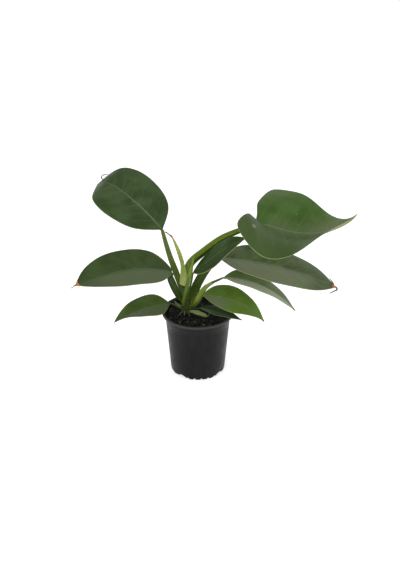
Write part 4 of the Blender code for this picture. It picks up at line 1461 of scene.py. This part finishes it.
# %% Make the sheaths
inside_pale = make_sheath_finish("inside", (0.30, 0.34, 0.15), (0.15, 0.21, 0.045), (0.15, 0.21, 0.045), 2.0)
dried = make_sheath_finish(
    "dried", (0.42, 0.48, 0.16), (0.23, 0.30, 0.050), (0.33, 0.39, 0.10), 0.92, dry=(0.50, 0.24, 0.07)
)
make_sheath("dried_sheath", dried, inside_pale)
pointed = make_sheath_finish("pointed", (0.09, 0.15, 0.016), (0.085, 0.155, 0.014), (0.16, 0.26, 0.03), 2.0)
make_sheath("pointed_sheath", pointed, inside_pale)
broad = make_sheath_finish("broad", (0.12, 0.17, 0.018), (0.19, 0.27, 0.030), (0.22, 0.28, 0.07), 2.0)
make_sheath("lower_right_sheath", broad, inside_pale)
scrap = make_sheath_finish("scrap", (0.09, 0.11, 0.032), (0.10, 0.13, 0.045), (0.16, 0.17, 0.09), 2.0)
make_sheath("lower_left_scrap", scrap, inside_pale, columns=30, rows=14, tear=2.5)
print("wrap faces:", faces_of("wrap_"))

# %% [markdown]
# ## Dry threads and small curls
# Where a tip has dried it shrinks to a dark thread. These are the smallest things on the plant, and they
# show that it has lived: one on the tall sheath, and a thread or a curl on each of four blades. Each is a
# thin tapering tube on its own route. The long leaf has a dried rim beside its tip, which is one more
# such tube along its margin.


# %% Threads
# Each is (x, y, z, radius) in millimetres, from the tip of the blade that it hangs on where it names one.
THREADS = {
    "sheath_thread": [(-47.2, 4, 282.0, 1.8), (-51.5, 3.8, 286, 1.4), (-56, 3.6, 290, 1.0),
                      (-60.8, 3.3, 293.8, 1.2)],
    "upper_left": [(12, 0.5, 9, 0.9), (8.5, -1, 14, 1.1), (11, -1, 19, 1.0), (15.5, 0, 20, 0.9),
                   (22, 2, 20, 0.6)],
    "middle_left": [(3, 0, 0.5, 1.9), (-1, 0, -0.3, 1.3), (-4, -0.3, -2.8, 0.8), (-8, -0.6, -5.5, 0.7)],
    "long_right": [(-1, 0, 1, 1.8), (1.8, 0, -3, 1.7), (0.5, -0.5, -6, 1.5), (-5, -1, -8.5, 1.2),
                   (-12.5, -1.5, -13, 0.7)],
    "youngest": [(-2.5, 0, -0.5, 1.1), (0.3, -0.5, 2.5, 1.0), (2.2, -1, 6.5, 0.7), (1, -1.5, 9.5, 0.5)],
}
print("threads and curls:", list(THREADS))


# %% Thread finish
def make_thread_finish(name, colour, tip):
    finish, tree, shader = new_finish(name, 0.7)
    cloud = place_group(tree, MOTTLING, Size=400, Grain_Size=2000)
    brown = blend(tree, attribute(tree, "along"), colour, tip)
    soiled = blend(tree, calc(tree, "MULTIPLY", cloud["Mask"], 0.4), brown, (0.02, 0.012, 0.008))
    tree.links.new(soiled, shader.inputs["Base Color"])
    tree.links.new(bump(tree, cloud["Grain"], 0.0004), shader.inputs["Normal"])
    return finish


THREAD_COLOURS = {
    "sheath_thread": ((0.16, 0.065, 0.025), (0.018, 0.012, 0.010)),
    "upper_left": ((0.20, 0.19, 0.13), (0.13, 0.12, 0.085)),
    "middle_left": ((0.40, 0.16, 0.06), (0.035, 0.022, 0.016)),
    "long_right": ((0.20, 0.09, 0.05), (0.014, 0.013, 0.010)),
    "youngest": ((0.12, 0.16, 0.06), (0.16, 0.15, 0.10)),
}


print("thread colours:", len(THREAD_COLOURS))


# %% Place the threads
def place_thread(name, stations):
    tip = np.zeros(3)
    if name in LEAVES:
        tip = blade_points(LEAVES[name], np.ones(1), np.zeros(1))[0]
    route = [(*(tip + np.array(station[:3]) * MM), station[3] * MM) for station in stations]
    finish = make_thread_finish("dry_" + name, *THREAD_COLOURS[name])
    piece = tube("thread_" + name, route, (0, -1, 0.3), finish, sides=10, rings=32, rough=0.25)
    return hand_over(piece)


for name, stations in THREADS.items():
    place_thread(name, stations)
print("thread faces:", faces_of("thread"))


# %% The dried rim of the long leaf
RIM_FROM, RIM_STEPS = 0.93, 8  # the long leaf's dried margin, along its far side


def make_dry_rim():
    shares = np.linspace(RIM_FROM, 1, RIM_STEPS)
    edge = blade_points(LEAVES["long_right"], shares, np.full(RIM_STEPS, 0.96))
    route = [(*point, radius * MM) for point, radius in zip(edge, np.linspace(0.5, 1.8, RIM_STEPS))]
    finish = make_thread_finish("dry_rim", (0.42, 0.22, 0.10), (0.50, 0.25, 0.12))
    return hand_over(tube("dry_rim", route, (0, -1, 0.3), finish, sides=10, rings=24, rough=0.2))


make_dry_rim()
print("dried rim faces:", faces_made["dry_rim"])

# %% [markdown]
# ## Roots
# A few pale roots leave the foot of the stem and dive into the peat. They are the same tubes as the
# petioles, rougher and blunter, with a chalky finish.

# %% Roots
# Pale roots from the crown's foot over the soil: radius, then (x, y, z) in millimetres.
ROOTS = {
    "root_front": (0.9, [(-25, 8, 124), (-25.5, 0, 123.2), (-26, -5, 120.6), (-27, -9.5, 119.7)]),
    "root_left": (0.8, [(-27, 8, 123), (-32.5, 1, 122), (-35.5, -3.5, 119.8), (-39.5, -9, 119.5)]),
    "root_right": (0.7, [(-21, 8, 122), (-18.2, 0, 121.2), (-16, -6.5, 119.6), (-16.5, -13, 119.4)]),
}


def make_root_finish():
    finish, tree, shader = new_finish("root_skin", 0.75)
    cloud = place_group(tree, MOTTLING, Size=500, Grain_Size=2500)
    pale = blend(tree, cloud["Mask"], (0.10, 0.10, 0.055), (0.30, 0.29, 0.19))
    dirty = step(tree, attribute(tree, "along"), 0.55, 1.0)
    tree.links.new(blend(tree, dirty, pale, (0.05, 0.04, 0.028)), shader.inputs["Base Color"])
    tree.links.new(bump(tree, cloud["Grain"], 0.0005), shader.inputs["Normal"])
    return finish


root_skin = make_root_finish()
for name, (radius, stations) in ROOTS.items():
    route = [(*(value * MM for value in station), radius * MM) for station in stations]
    hand_over(tube("pale_" + name, route, (0, -1, 1), root_skin, sides=12, rings=30, rough=0.3), name)
print("root and thread faces:", faces_of("root") + faces_of("thread"))

# %% [markdown]
# ## Count the pieces
# The last lines print how many pieces were made and how many faces they have before modifiers.

# %% Count the pieces
print("pieces:", len(faces_made), "faces before modifiers:", sum(faces_made.values()))

# %% Finish
print("handing over", len(faces_made), "pieces")
